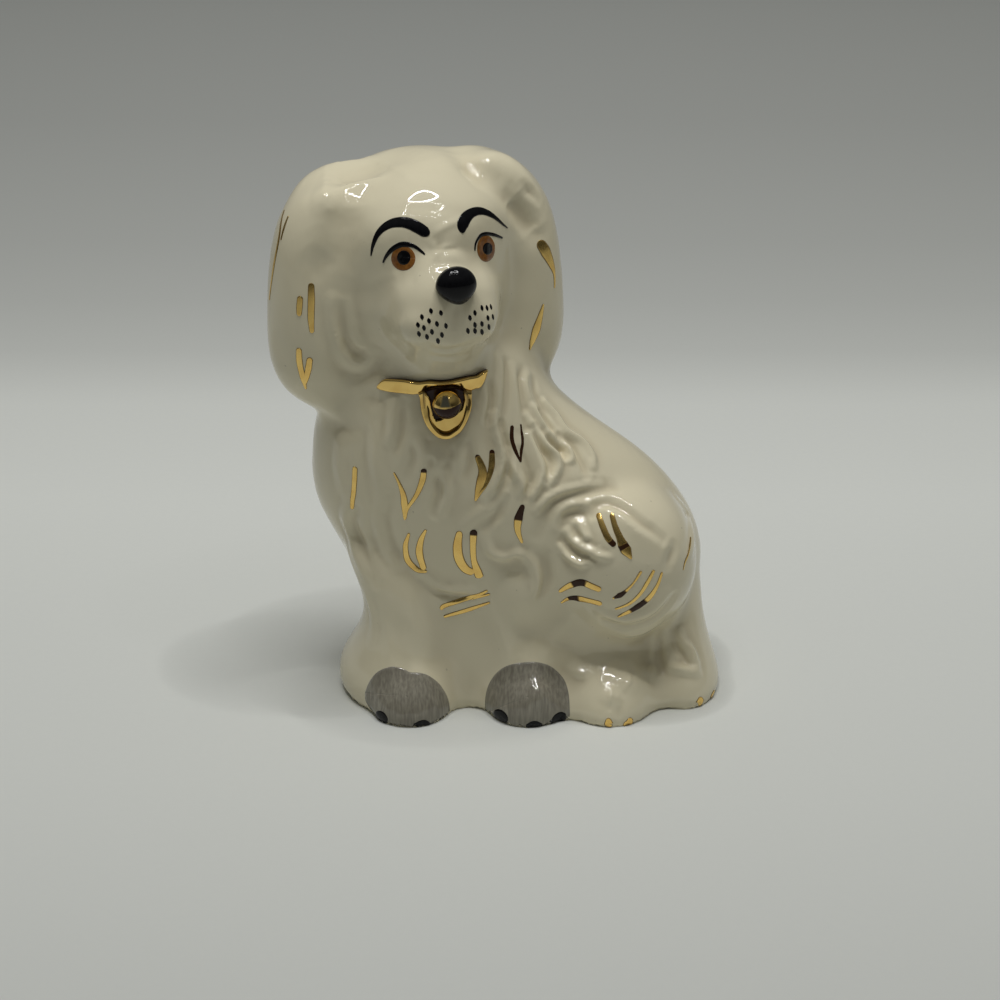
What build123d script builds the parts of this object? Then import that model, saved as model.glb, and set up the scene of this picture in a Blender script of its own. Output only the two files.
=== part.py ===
from build123d import *
import os

# Seated pottery spaniel of the mantelpiece kind, in glazed earthenware with painted and gilt details.
# Millimetres, +Z up. The display side faces -Y, the chest stands towards -X and the tail towards +X.
# The origin lies on the flat underside. The figure is slip cast as separate pieces that are stuck up
# with slip, so each piece ends on the surface of the piece that it is stuck to. The painted marks are
# fired on afterwards, as thin films of enamel and gold.

# Casting
wall = 3.2  # thickness of the cast wall of the hollow pieces
vent_radius = 3.0  # drain and vent hole in the closed underside
vent_x, vent_y = 9.0, 6.0  # where that hole is, clear of the origin

# The head stands over the chest and is turned towards the tail. Everything on it is drawn in its own
# frame, with the face towards -Y and heights counted down from the crown.
crown = 89.0
head_x, head_y, head_turn = -11.5, -1.0, 17.5
head_place = Pos(head_x, head_y, crown) * Rot(0, 0, head_turn)

# Torso, as level oval sections: height as drawn, left, right, front and back. It is stretched so that
# the last section, the neck, ends inside the head, that far below the crown.
neck_below = 23.0
drawn_torso = [
    (0, -20, 30, -15.5, 19),
    (9, -20.5, 32, -15.8, 19.5),
    (16, -22, 34, -15.8, 19.5),
    (24, -25.2, 34, -16, 19),
    (32, -28.6, 30.2, -16.5, 18),
    (39, -29, 23.8, -16.5, 16),
    (46, -28, 14.5, -15.5, 14),
    (53, -26, 8, -14, 12),
    (60, -24.5, 2.5, -12, 10.5),
    (66, -19, -4, -8.5, 7.5),
]
torso_stretch = (crown - neck_below) / drawn_torso[-1][0]
torso_sections = [(height * torso_stretch, *sides) for height, *sides in drawn_torso]

# Skull and ears, as level sections in the frame of the head
crown_y = 1.0
skull_sections = [
    (-36, -7, 7, -7, 8),
    (-31, -10, 10, -11.5, 11),
    (-25, -13, 13, -13.5, 13),
    (-18, -14.5, 14.5, -14.6, 14.5),
    (-11, -14.5, 14.5, -14.2, 14.5),
    (-5, -12, 12, -10.5, 12),
    (-1.5, -7.5, 7.5, -5.5, 8),
]
ear_tip = (13.0, 0.5, -41.5)
ear_sections = [  # of the dog's left ear, which hangs on the +X side of its head
    (-1, 5, 11.5, -4, 5),
    (-5, 8.5, 18.4, -5.5, 7),
    (-12, 11.5, 22, -6.5, 8),
    (-21, 12, 23.4, -7, 8.5),
    (-29, 10.5, 23.8, -7, 8),
    (-35, 9.5, 22.5, -6, 7),
    (-39, 9.5, 19, -4, 5),
]

# Forms that swell towards a tip have upright oval sections behind it:
# depth behind the tip, then across and half width, then up and half height, all from the tip
muzzle_y, muzzle_z = -20.4, -20.4
muzzle_sections = [(12.4, 0, 10.5, 0.4, 8), (7.4, 0, 9.4, 0, 7.6), (3.4, 0, 7.4, 0, 6.6), (1.2, 0, 5, 0, 4.9)]
pad_x, pad_drop = 3.9, 1.4  # whisker pads, from the tip of the muzzle
pad_sections = [(8.3, 0, 4.8, 0, 4.7), (4.3, 0, 4.4, 0, 4.4), (1.3, 0, 2.9, 0, 2.8)]
chin_back, chin_drop = 3.0, 6.0
chin_sections = [(9.4, 0, 7, -0.6, 4.6), (4.4, 0, 5.4, -0.6, 4), (1.2, 0, 3.6, -0.2, 2.6)]
nose_proud, nose_rise = 1.5, 5.2
nose_sections = [(4.5, 0, 3.1, -0.2, 2.8), (0.8, 0, 2.7, -0.1, 2.35)]
left_haunch_tip = (20.8, -18.8, 25.5)
left_haunch_sections = [
    (20.8, -2.8, 14, -3.5, 15),
    (12.8, -1.5, 13.6, -2.5, 14.8),
    (6.8, -1.2, 12.4, -1.5, 13.2),
    (2.8, -0.6, 9.4, -0.5, 9.8),
]
right_haunch_tip = (15.0, 21.5, 21.0)
right_haunch_sections = [(17.5, 0, 14, -1, 14.5), (9.5, 0, 13.4, -1, 14), (4, 0, 10.5, -0.5, 11)]

# Feet are half ellipsoids. Forelegs are level oval sections, with left and right from the paw's middle,
# and rise with the torso above the paw.
paw_y, paw_half_width, paw_half_length, paw_height = -14.4, 6.8, 6.9, 8.4
right_paw_x, left_paw_x = -13.3, 5.7
right_foreleg_root = (-4.7, -4, 28 * torso_stretch)
right_foreleg_sections = [
    (0, -11.5, 7.8, -17, 8),
    (6, -11.2, 7.3, -17, 7),
    (12 * torso_stretch, -8.2, 6.8, -16.4, 4),
    (19 * torso_stretch, -8.2, 5.3, -15.4, 2),
]
left_foreleg_root = (-0.7, -8, 30 * torso_stretch)
left_foreleg_sections = [
    (0, -7.7, 7.5, -17.6, 0),
    (6, -7.7, 7.3, -17.8, 0),
    (14 * torso_stretch, -8.2, 6.8, -17.8, 0),
    (22 * torso_stretch, -7.7, 5.8, -17.2, 0),
]
left_hind_foot_x, left_hind_foot_y = 18.8, -12.0
left_hind_foot_half_width, left_hind_foot_half_length, left_hind_foot_height = 8.0, 9.2, 9.0
right_hind_foot_x, right_hind_foot_y = 4.0, 14.0
right_hind_foot_half_width, right_hind_foot_half_length, right_hind_foot_height = 8.0, 7.5, 7.0
tail_root = (31.0, 3.0, 21.0)
tail_sections = [
    (0, 24, 37.8, -15.5, 6),
    (4, 24.5, 37, -14.5, 7),
    (9, 26, 35.4, -11, 8),
    (15, 28, 34.6, -6, 9),
]

# Collar with its locket and bell: the strap sags between its ends, and the rest hangs from it
collar_left_x, collar_right_x = -17.4, -0.8
collar_below, collar_rise, collar_sag, collar_width = 33.2, 1.6, 1.1, 2.0
collar_z = crown - collar_below
collar_proud, locket_proud, rim_proud = 0.9, 0.9, 1.5  # how far each stands out of the chest
locket_x, locket_drop, locket_radius, rim_width = -6.9, 4.4, 4.0, 0.9
bell_drop, bell_radius = 2.6, 2.3

# Painted marks are drawn across and up, as they are seen, for the dog's left side.
# Brow and eyelid are each two arcs that share their ends, counted from the middle of the eye.
film = 0.15  # thickness of enamel and gold
stand_off = 40.0  # how far in front of their frame the marks are drawn
eye_x, eye_z = 6.4, -12.3
iris_half_width, iris_half_height, pupil_radius = 1.85, 2.05, 1.1
brow_arcs = ((-4.5, 3.2), (1.2, 6.3), (5.0, -0.3), (0.6, 4.8))
eyelid_arcs = ((-3.3, 0.3), (0.1, 2.6), (3.2, -1.1), (0.1, 2.0))
dot_half_width, dot_half_height = 0.28, 0.42
dot_rings = [(1.15, 5), (2.55, 7)]  # radius of each ring of whisker dots, and how many
claw_radius, gilt_claw_radius = 1.2, 0.9
right_paw_claws, left_paw_claws, hind_foot_claws = (-4.3, 2.4), (-4.1, 1.1, 4.8), (-0.4, 3.7)
tail_dabs = [(33.9, 0.9), (36.0, 1.4)]

# Gilt brush strokes: start, end, width and sideways bow. The frame of each list is its carrier's, and
# the heights on the chest are stretched with the torso.
chest_strokes = [
    ((-21.4, 41.3), (-21.8, 34.8), 1.0, 0.1),
    ((-14.8, 41.6), (-13.4, 33.9), 0.9, -0.2),
    ((-10.2, 41.9), (-13.4, 33.9), 1.1, 0.3),
    ((-1.8, 44.0), (-2.6, 36.2), 0.9, 0.2),
    ((0.3, 45.7), (-2.6, 36.2), 1.4, 0.4),
    ((3.4, 49.0), (4.2, 43.7), 0.6, 0.1),
    ((4.6, 49.7), (4.2, 43.7), 0.6, 0.1),
    ((-13.1, 31.5), (-10.7, 25.3), 1.4, -1.4),
    ((-10.2, 32.2), (-10.3, 25.6), 1.0, -0.8),
    ((-5.3, 32.2), (-2.7, 24.5), 1.5, -1.5),
    ((-2.8, 32.2), (-2.2, 24.7), 1.2, -0.4),
    ((4.7, 36.4), (4.7, 30.2), 0.9, -0.9),
    ((-8.1, 18.8), (-0.6, 21.6), 0.7, 0.2),
    ((-7.5, 17.3), (-0.8, 19.7), 0.7, 0.2),
]
haunch_strokes = [  # from the tip of the haunch
    ((-3.8, 10.2), (0.4, 3.0), 1.3, -0.3),
    ((-2.1, 10.2), (1.0, 3.0), 1.3, 0.3),
    ((-10.4, -3.7), (-3.5, -3.7), 1.1, 1.2),
    ((-10.1, -5.0), (-3.5, -5.9), 0.9, 0.8),
    ((2.5, -0.4), (-1.7, -5.3), 0.7, 0.2),
    ((4.6, -0.4), (-1.0, -7.4), 0.9, 0.3),
    ((6.1, -0.7), (-0.3, -8.6), 0.8, 0.3),
]
right_ear_strokes = [
    ((-20.2, -20.0), (-20.4, -23.1), 0.8, 0.1),
    ((-18.3, -17.9), (-18.5, -25.7), 0.9, 0.1),
    ((-20.5, -28.6), (-19.8, -34.8), 0.8, -0.2),
    ((-18.3, -29.7), (-19.8, -34.8), 0.8, 0.2),
]
right_ear_side_strokes = [((-6.5, -7.0), (-6.9, -21.5), 0.7, 0.2)]
right_ear_side_turn = -70.0  # the long stroke is drawn from that much further round
left_ear_strokes = [
    ((17.8, -14.9), (19.8, -20.2), 1.5, 0.2),
    ((18.4, -25.1), (16.4, -31.8), 1.6, -0.2),
]


# Sections and forms


def level(z, left, right, front, back, inset=0.0):
    """A level oval section that reaches those four sides, or stays inside them by the inset."""
    middle = ((left + right) / 2, (front + back) / 2, z)
    return Pos(*middle) * Ellipse((right - left) / 2 - inset, (back - front) / 2 - inset)


def column(sections, tip=None, x=0.0):
    """A form through level sections, closed to a rounded tip where it has one, and moved across by x."""
    ends = [] if tip is None else [Vertex(*tip)]
    return Pos(x, 0, 0) * loft([level(*section) for section in sections] + ends)


def swelling(tip, sections, faces=-1):
    """A form through upright sections behind its tip, which faces -Y, or +Y where faces is 1."""
    x, y, z = tip
    ovals = []
    for depth, across, half_width, up, half_height in sections:
        middle = (x + across, y - faces * depth, z + up)
        plane = Plane(middle, x_dir=(1, 0, 0), z_dir=(0, -1, 0))
        ovals.append(plane * Ellipse(half_width, half_height))
    return loft(ovals + [Vertex(*tip)])


def dome(x, y, half_width, half_length, height):
    """A foot: the upper half of an ellipsoid that stands on the underside."""
    ball = Pos(x, y, 0) * scale(Sphere(1), by=(half_width, half_length, height))
    return split(ball, bisect_by=Plane.XY, keep=Keep.TOP)


def main_solid(shape):
    """The piece itself, without the crumbs that a cut leaves."""
    return max(shape.solids(), key=lambda solid: solid.volume)


# Torso and head


def torso_hollow():
    """The inside of the torso: closed by a floor as thick as the wall, and open at the neck."""
    return loft([level(max(z, wall), *sides, wall) for z, *sides in torso_sections])


def head_form():
    skull = column(skull_sections, (0, crown_y, 0))
    snout = swelling((0, muzzle_y, muzzle_z), muzzle_sections)
    chin = swelling((0, muzzle_y + chin_back, muzzle_z - chin_drop), chin_sections)
    pads = [swelling((side * pad_x, muzzle_y, muzzle_z - pad_drop), pad_sections) for side in (-1, 1)]
    return head_place * (skull + snout + chin + pads)


def head_hollow():
    """The inside of the head, which goes on from the opening of the neck."""
    neck_z, *neck_sides = torso_sections[-1]
    above = [section for section in skull_sections if neck_z - crown < section[0] < -wall]
    ovals = [head_place * level(*section, wall) for section in above]
    return loft([level(neck_z, *neck_sides, wall), *ovals, head_place * Vertex(0, crown_y, -wall)])


torso = column(torso_sections)
vent = Pos(vent_x, vent_y, 0) * Cylinder(vent_radius, 4 * wall)
body = torso - torso_hollow() - vent
whole_head = main_solid(head_form() - torso)
head = main_solid(whole_head - head_hollow())
nose_tip = (0, muzzle_y - nose_proud, muzzle_z + nose_rise)
nose = main_solid(head_place * swelling(nose_tip, nose_sections) - whole_head)
ear_form = column(ear_sections, ear_tip)
left_ear = main_solid(head_place * ear_form - whole_head - torso)
right_ear = main_solid(head_place * mirror(ear_form, about=Plane.YZ) - whole_head - torso)


# Legs, haunches, feet and tail


def forepaw(x, leg):
    return main_solid(dome(x, paw_y, paw_half_width, paw_half_length, paw_height) - leg - torso)


right_foreleg = main_solid(column(right_foreleg_sections, right_foreleg_root, right_paw_x) - torso)
left_foreleg = main_solid(column(left_foreleg_sections, left_foreleg_root, left_paw_x) - torso)
right_forepaw = forepaw(right_paw_x, right_foreleg)
left_forepaw = forepaw(left_paw_x, left_foreleg)
left_haunch = main_solid(swelling(left_haunch_tip, left_haunch_sections) - torso - left_foreleg)
right_haunch = main_solid(swelling(right_haunch_tip, right_haunch_sections, faces=1) - torso)
left_hind_foot = dome(
    left_hind_foot_x,
    left_hind_foot_y,
    left_hind_foot_half_width,
    left_hind_foot_half_length,
    left_hind_foot_height,
)
left_hind_foot = main_solid(left_hind_foot - torso - left_haunch - left_foreleg - left_forepaw)
right_hind_foot = dome(
    right_hind_foot_x,
    right_hind_foot_y,
    right_hind_foot_half_width,
    right_hind_foot_half_length,
    right_hind_foot_height,
)
right_hind_foot = main_solid(right_hind_foot - torso - right_haunch)
tail = main_solid(column(tail_sections, tail_root) - torso - left_haunch - left_hind_foot - right_haunch)


# Marks and trim that lie on a casting


def fired_on(carrier, outline, thickness, place=Location()):
    """Marks of that thickness on the carrier, inside an outline that is drawn across and up in front of
    the placed frame and carried to it."""
    towards = (place * Pos(0, 1, 0)).position - place.position
    sheet = Plane((0, -stand_off, 0), x_dir=(1, 0, 0), z_dir=(0, -1, 0)) * outline
    columns = extrude(place * sheet, amount=stand_off, dir=towards)
    raised = Location(towards * -thickness) * carrier
    return (columns & raised) - carrier


def group(shape):
    """One compound of the shape's separate solids."""
    return Compound(children=shape.solids())


def crescent(start, over, end, under):
    """A brush mark between two arcs that share their ends."""
    return make_face([ThreePointArc(start, over, end), ThreePointArc(end, under, start)])


def stroke(start, end, width, bow):
    """One stroke of the brush from start to end, bowed to its left."""
    along = Vector(*end) - Vector(*start)
    across = Vector(-along.Y, along.X).normalized()
    middle = (Vector(*start) + Vector(*end)) / 2
    over = middle + across * (bow + width / 2)
    under = middle + across * (bow - width / 2)
    return crescent(start, (over.X, over.Y), end, (under.X, under.Y))


def strap_outline():
    """The collar: a strap with square ends that sags in the middle."""
    left = Vector(collar_left_x, collar_z)
    right = Vector(collar_right_x, collar_z + collar_rise)
    middle = (left + right) / 2 - Vector(0, collar_sag)
    drop = Vector(0, -collar_width)
    upper = ThreePointArc(left, middle, right)
    lower = ThreePointArc(right + drop, middle + drop, left + drop)
    return make_face([upper, Line(right, right + drop), lower, Line(left + drop, left)])


def tag_outline(radius):
    """The locket: round below, with straight sides that run up under the strap."""
    top, low = collar_z - collar_width / 2, collar_z - locket_drop
    left, right = locket_x - radius, locket_x + radius
    bottom = ThreePointArc((left, low), (locket_x, low - radius), (right, low))
    sides = [Line((right, low), (right, top)), Line((right, top), (left, top)), Line((left, top), (left, low))]
    return make_face([bottom, *sides])


collar = main_solid(fired_on(torso, strap_outline(), collar_proud) - whole_head)
locket_face = tag_outline(locket_radius - rim_width)
locket = main_solid(fired_on(torso, locket_face, locket_proud) - collar)
locket_rim = main_solid(fired_on(torso, tag_outline(locket_radius) - locket_face, rim_proud) - collar)
bell_z = collar_z - bell_drop
chest_hits = torso.find_intersection_points(Axis((locket_x, -stand_off, bell_z), (0, 1, 0)))
bell_y = min(point.Y for point, _ in chest_hits) - locket_proud
bell = Pos(locket_x, bell_y, bell_z) * Sphere(bell_radius)
bell = main_solid(bell - torso - collar - locket - locket_rim)


# Painted face


def face_mark(outline, side):
    """A mark beside the eye, on the dog's left, or mirrored to its right where side is -1."""
    drawn = Pos(eye_x, eye_z) * outline
    if side < 0:
        drawn = mirror(drawn, about=Plane.YZ)
    return main_solid(fired_on(whole_head, drawn, film, head_place))


def whisker_outline():
    """Brush dots in rings on both whisker pads."""
    dot = Ellipse(dot_half_width, dot_half_height)
    spots = [Vector(0, 0)]
    for ring, count in dot_rings:
        spots.extend(spot.position for spot in PolarLocations(ring, count))
    middles = [Vector(side * pad_x, muzzle_z - pad_drop) for side in (-1, 1)]
    return Sketch() + [Pos(*(middle + spot)) * dot for middle in middles for spot in spots]


eye_marks = {
    "iris": Ellipse(iris_half_width, iris_half_height) - Circle(pupil_radius),
    "pupil": Circle(pupil_radius),
    "brow": crescent(*brow_arcs),
    "eyelid": crescent(*eyelid_arcs),
}
face = {"whisker_dots": group(fired_on(whole_head, whisker_outline(), film, head_place))}
for side, word in ((-1, "right"), (1, "left")):
    for mark, outline in eye_marks.items():
        face[f"{word}_{mark}"] = face_mark(outline, side)


# Claws and gilding


def claws_on(foot, middle, offsets, radius):
    """Half round claws that stand on the underside, at those offsets from the foot's middle."""
    rounds = Sketch() + [Pos(middle + offset, 0) * Circle(radius) for offset in offsets]
    return group(fired_on(foot, rounds, film))


def gilding(carrier, strokes, place=Location()):
    return fired_on(carrier, Sketch() + [stroke(*sizes) for sizes in strokes], film, place)


def stretched(strokes):
    """The strokes at the heights that the stretched torso gives them."""
    return [((x, z * torso_stretch), (u, w * torso_stretch), *sizes) for (x, z), (u, w), *sizes in strokes]


haunch_place = Pos(left_haunch_tip[0], 0, left_haunch_tip[2])
ear_side_place = head_place * Rot(0, 0, right_ear_side_turn)
ear_fronts = gilding(right_ear, right_ear_strokes, head_place)
ear_side = gilding(right_ear, right_ear_side_strokes, ear_side_place)
dabs = Sketch() + [Pos(*spot) * Circle(gilt_claw_radius) for spot in tail_dabs]
decoration = {
    "right_claws": claws_on(right_forepaw, right_paw_x, right_paw_claws, claw_radius),
    "left_claws": claws_on(left_forepaw, left_paw_x, left_paw_claws, claw_radius),
    "hind_claws": claws_on(left_hind_foot, left_hind_foot_x, hind_foot_claws, gilt_claw_radius),
    "tail_gilding": group(fired_on(tail, dabs, film)),
    "chest_gilding": group(gilding(torso, stretched(chest_strokes))),
    "haunch_gilding": group(gilding(left_haunch, haunch_strokes, haunch_place)),
    "right_ear_gilding": group(ear_fronts + ear_side),
    "left_ear_gilding": group(gilding(left_ear, left_ear_strokes, head_place)),
}

pieces = {
    "body": body,
    "head": head,
    "nose": nose,
    "right_ear": right_ear,
    "left_ear": left_ear,
    "right_foreleg": right_foreleg,
    "left_foreleg": left_foreleg,
    "right_forepaw": right_forepaw,
    "left_forepaw": left_forepaw,
    "left_haunch": left_haunch,
    "right_haunch": right_haunch,
    "left_hind_foot": left_hind_foot,
    "right_hind_foot": right_hind_foot,
    "tail": tail,
    "collar": collar,
    "locket": locket,
    "locket_rim": locket_rim,
    "bell": bell,
    **face,
    **decoration,
}

os.makedirs("parts", exist_ok=True)
for name, piece in pieces.items():
    export_step(piece, f"parts/{name}.step")
    print(name, len(piece.solids()), round(piece.volume, 2))
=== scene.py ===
import bpy
import math
import numpy as np
import openvdb
from mathutils import Matrix, Vector
from mathutils.bvhtree import BVHTree


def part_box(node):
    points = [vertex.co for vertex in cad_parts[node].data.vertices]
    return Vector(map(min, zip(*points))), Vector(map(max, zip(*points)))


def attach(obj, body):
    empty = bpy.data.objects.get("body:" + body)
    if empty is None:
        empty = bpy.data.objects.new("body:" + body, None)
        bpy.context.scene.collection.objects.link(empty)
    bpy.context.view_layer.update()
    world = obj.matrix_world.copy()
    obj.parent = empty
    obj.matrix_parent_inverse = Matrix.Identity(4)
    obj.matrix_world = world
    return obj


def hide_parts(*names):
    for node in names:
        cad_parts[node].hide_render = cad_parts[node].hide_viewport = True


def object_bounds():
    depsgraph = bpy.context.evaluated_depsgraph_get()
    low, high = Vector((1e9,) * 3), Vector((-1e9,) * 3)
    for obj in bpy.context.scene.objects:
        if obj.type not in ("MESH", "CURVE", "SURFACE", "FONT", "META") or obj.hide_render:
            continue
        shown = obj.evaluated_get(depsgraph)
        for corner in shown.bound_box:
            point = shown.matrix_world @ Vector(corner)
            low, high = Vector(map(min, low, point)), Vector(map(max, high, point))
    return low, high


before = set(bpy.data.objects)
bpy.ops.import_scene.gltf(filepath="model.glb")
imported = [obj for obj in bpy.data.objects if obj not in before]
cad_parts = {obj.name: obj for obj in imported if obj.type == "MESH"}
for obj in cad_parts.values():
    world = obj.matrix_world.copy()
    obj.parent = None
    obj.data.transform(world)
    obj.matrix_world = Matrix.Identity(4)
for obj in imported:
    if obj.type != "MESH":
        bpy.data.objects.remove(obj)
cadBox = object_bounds()
scene = bpy.context.scene
scene.view_settings.view_transform = "Standard"
mm = 0.001

# The camera looks down at the display side, as the photograph does
viewpoint = {
    "elevation": 24.0, "halfAngle": 13.0,  # degrees
    "distance": 352.0, "target": (1.25, 0.0, 30.5), "sensor": 36.0,  # millimetres
    "pixels": 1000,
}


def makeCamera(at):
    tilt = math.radians(at["elevation"])
    ahead = Vector((0, math.cos(tilt), -math.sin(tilt)))
    lens = bpy.data.cameras.new("photoCamera")
    lens.sensor_width = at["sensor"]
    lens.lens = lens.sensor_width / 2 / math.tan(math.radians(at["halfAngle"]))
    eye = bpy.data.objects.new("photoCamera", lens)
    scene.collection.objects.link(eye)
    eye.location = (Vector(at["target"]) - ahead * at["distance"]) * mm
    eye.rotation_mode = "QUATERNION"
    eye.rotation_quaternion = ahead.to_track_quat("-Z", "Y")
    scene.camera = eye
    return eye.location.copy(), ahead, Vector((1, 0, 0)), Vector((0, math.sin(tilt), math.cos(tilt)))


eyePoint, eyeAhead, eyeRight, eyeUp = makeCamera(viewpoint)


def pixelRay(px, py):
    half = viewpoint["pixels"] / 2
    spread = math.tan(math.radians(viewpoint["halfAngle"])) / half
    return (eyeAhead + eyeRight * (px - half) * spread + eyeUp * (half - py) * spread).normalized()


print("camera set")

# Shader building: wires carry sockets, and sums of wires become Math nodes


class Wire:
    def __init__(self, look, socket):
        self.look, self.socket = look, socket

    def maths(self, operation, first, second):
        return self.look.node("ShaderNodeMath", {"operation": operation}, {0: first, 1: second})

    def __add__(self, other):
        return self.maths("ADD", self, other)

    def __radd__(self, other):
        return self.maths("ADD", other, self)

    def __sub__(self, other):
        return self.maths("SUBTRACT", self, other)

    def __rsub__(self, other):
        return self.maths("SUBTRACT", other, self)

    def __mul__(self, other):
        return self.maths("MULTIPLY", self, other)

    def __rmul__(self, other):
        return self.maths("MULTIPLY", other, self)


class Look:
    def __init__(self, owner):
        self.owner = owner
        owner.use_nodes = True
        self.tree = owner.node_tree
        self.tree.nodes.clear()

    def node(self, kind, settings=None, sockets=None, out=0):
        made = self.tree.nodes.new(kind)
        for key, value in (settings or {}).items():
            if key == "stops":
                self.setStops(made.color_ramp.elements, value)
            else:
                setattr(made, key, value)
        for key, value in (sockets or {}).items():
            self.feed(made.inputs[key], value)
        return Wire(self, made.outputs[out]) if made.outputs else None

    def setStops(self, elements, stops):
        while len(elements) < len(stops):
            elements.new(1.0)
        for element, (place, colour) in zip(elements, stops):
            element.position = place
            element.color = (*colour, 1.0)

    def feed(self, socket, value):
        if isinstance(value, Wire):
            self.tree.links.new(value.socket, socket)
        elif hasattr(socket.default_value, "__len__") and len(socket.default_value) == 4 and len(value) == 3:
            socket.default_value = (*value, 1.0)
        else:
            socket.default_value = value

    def position(self):
        return self.node("ShaderNodeTexCoord", out="Object")

    def attribute(self, name):
        return self.node("ShaderNodeAttribute", {"attribute_name": name}, out="Fac")

    def noise(self, size, detail=2.0, stretch=(1, 1, 1)):  # size in millimetres
        sockets = {0: self.position(), 1: stretch}
        scaled = self.node("ShaderNodeVectorMath", {"operation": "MULTIPLY"}, sockets)
        sockets = {"Vector": scaled, "Scale": 1 / (size * mm), "Detail": detail}
        return self.node("ShaderNodeTexNoise", {}, sockets)

    def band(self, value, low, high):
        return self.node("ShaderNodeMapRange", {}, {0: value, 1: low, 2: high, 3: 0.0, 4: 1.0})

    def mix(self, factor, first, second):
        return self.node("ShaderNodeMix", {"data_type": "RGBA"}, {0: factor, 6: first, 7: second}, out=2)

    def bump(self, height, depth, strength):  # depth in millimetres
        sockets = {"Height": height, "Distance": depth * mm, "Strength": strength}
        return self.node("ShaderNodeBump", {}, sockets)

    def surface(self, **sockets):
        names = {key.replace("_", " "): value for key, value in sockets.items()}
        shader = self.node("ShaderNodeBsdfPrincipled", {}, names)
        self.node("ShaderNodeOutputMaterial", {}, {"Surface": shader})
        return self.owner


def newLook(name):
    return Look(bpy.data.materials.new(name))


# Ivory glaze: sizes in millimetres
ivory = {
    "body": (0.75, 0.685, 0.49), "light": (0.79, 0.725, 0.53), "mottleSize": 9.0,
    # hollows: glaze pools there, and this colour also paints shade into them
    "pooledAndShaded": (0.68, 0.61, 0.43),
    "speck": (0.30, 0.26, 0.19), "speckSize": 0.7, "speckFrom": (0.87, 0.90), "speckShare": 0.35,
    "rough": 0.03, "roughSpread": 0.03, "roughSize": 6.0,
    "waveSize": 2.6, "waveDepth": 0.025, "waveShare": 0.3,
    "index": 1.52,
}


def ivoryGlaze():
    look = newLook("ivoryGlaze")
    body = look.mix(look.noise(ivory["mottleSize"], 3.0), ivory["body"], ivory["light"])
    # hollows darker: glaze pooling, and painted shade
    pooledAndShaded = look.mix(look.attribute("hollow"), body, ivory["pooledAndShaded"])
    speck = look.band(look.noise(ivory["speckSize"], 0.0), *ivory["speckFrom"])
    return look.surface(
        Base_Color=look.mix(speck * ivory["speckShare"], pooledAndShaded, ivory["speck"]),
        Roughness=look.noise(ivory["roughSize"]) * ivory["roughSpread"] + ivory["rough"],
        Normal=look.bump(look.noise(ivory["waveSize"], 1.0), ivory["waveDepth"], ivory["waveShare"]),
        IOR=ivory["index"],
    )


# Enamels: colours, brush streaks in millimetres, and the thin edge
enamels = {
    "greyEnamel": {
        "light": (0.32, 0.30, 0.237), "dark": (0.212, 0.193, 0.152), "rough": 0.03, "index": 1.5,
        "size": 0.34, "stretch": (1, 0.5, 0.07), "depth": 0.0008,
        "rimFrom": 0.93, "rimShare": 0.5, "rimColour": (0.30, 0.29, 0.25),
    },
    "blackEnamel": {
        "light": (0.006, 0.006, 0.007), "dark": (0.004, 0.004, 0.005), "rough": 0.02, "index": 1.3,
        "size": 0.5, "stretch": (1, 1, 0.2), "depth": 0.001,
        "rimFrom": 0.9, "rimShare": 0.5, "rimColour": (0.12, 0.115, 0.10),
    },
    "brownEnamel": {
        "light": (0.28, 0.118, 0.024), "dark": (0.16, 0.056, 0.012), "rough": 0.05, "index": 1.5,
        "size": 0.6, "stretch": (1, 1, 1), "depth": 0.01,
        "rimFrom": 0.75, "rimShare": 0.7, "rimColour": (0.30, 0.125, 0.028),
    },
}
enamelBrush = {"detail": 4.0, "streakFrom": (0.35, 0.68), "roughSpread": 0.05, "bump": 0.4}


def enamel(name):
    paint, look = enamels[name], newLook(name)
    brush = look.noise(paint["size"], enamelBrush["detail"], paint["stretch"])
    colour = look.mix(look.band(brush, *enamelBrush["streakFrom"]), paint["dark"], paint["light"])
    thin = look.band(look.attribute("rim"), paint["rimFrom"], 1.0) * paint["rimShare"]
    return look.surface(
        Base_Color=look.mix(thin, colour, paint["rimColour"]),
        Roughness=brush * enamelBrush["roughSpread"] + paint["rough"],
        Normal=look.bump(brush, paint["depth"], enamelBrush["bump"]),
        IOR=paint["index"],
    )


# Fired gold: bright and pooled metal, burnt edges, dark gold as painted reflection and painted shade, and the
# grey where it is rubbed off, painted in shade
# the darkest gold colour serves burnt edges, and also painted reflections and painted shade on dark stretches
# of strokes, the hollow by the bell and the bell's lower band
golds = {
    "brushedGold": {
        "bright": (0.88, 0.61, 0.20), "deep": (0.66, 0.38, 0.10),
        "burnt": (0.040, 0.016, 0.007), "rough": 0.24,
    },
    "castGold": {
        "bright": (0.86, 0.60, 0.20), "deep": (0.66, 0.38, 0.10),
        "burnt": (0.032, 0.009, 0.005), "rough": 0.03,
    },
}
goldBrush = {
    "size": 0.7, "stretch": (1.0, 1.0, 0.35), "depth": 0.03, "bump": 0.3, "roughSpread": 0.05,
    "poolSize": 2.2, "poolFrom": (0.42, 0.66), "poolShare": 0.35,
    "darkGoldFrom": (0.78, 0.98), "rubbed": (0.15, 0.14, 0.10), "index": 1.3,
}


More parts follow.
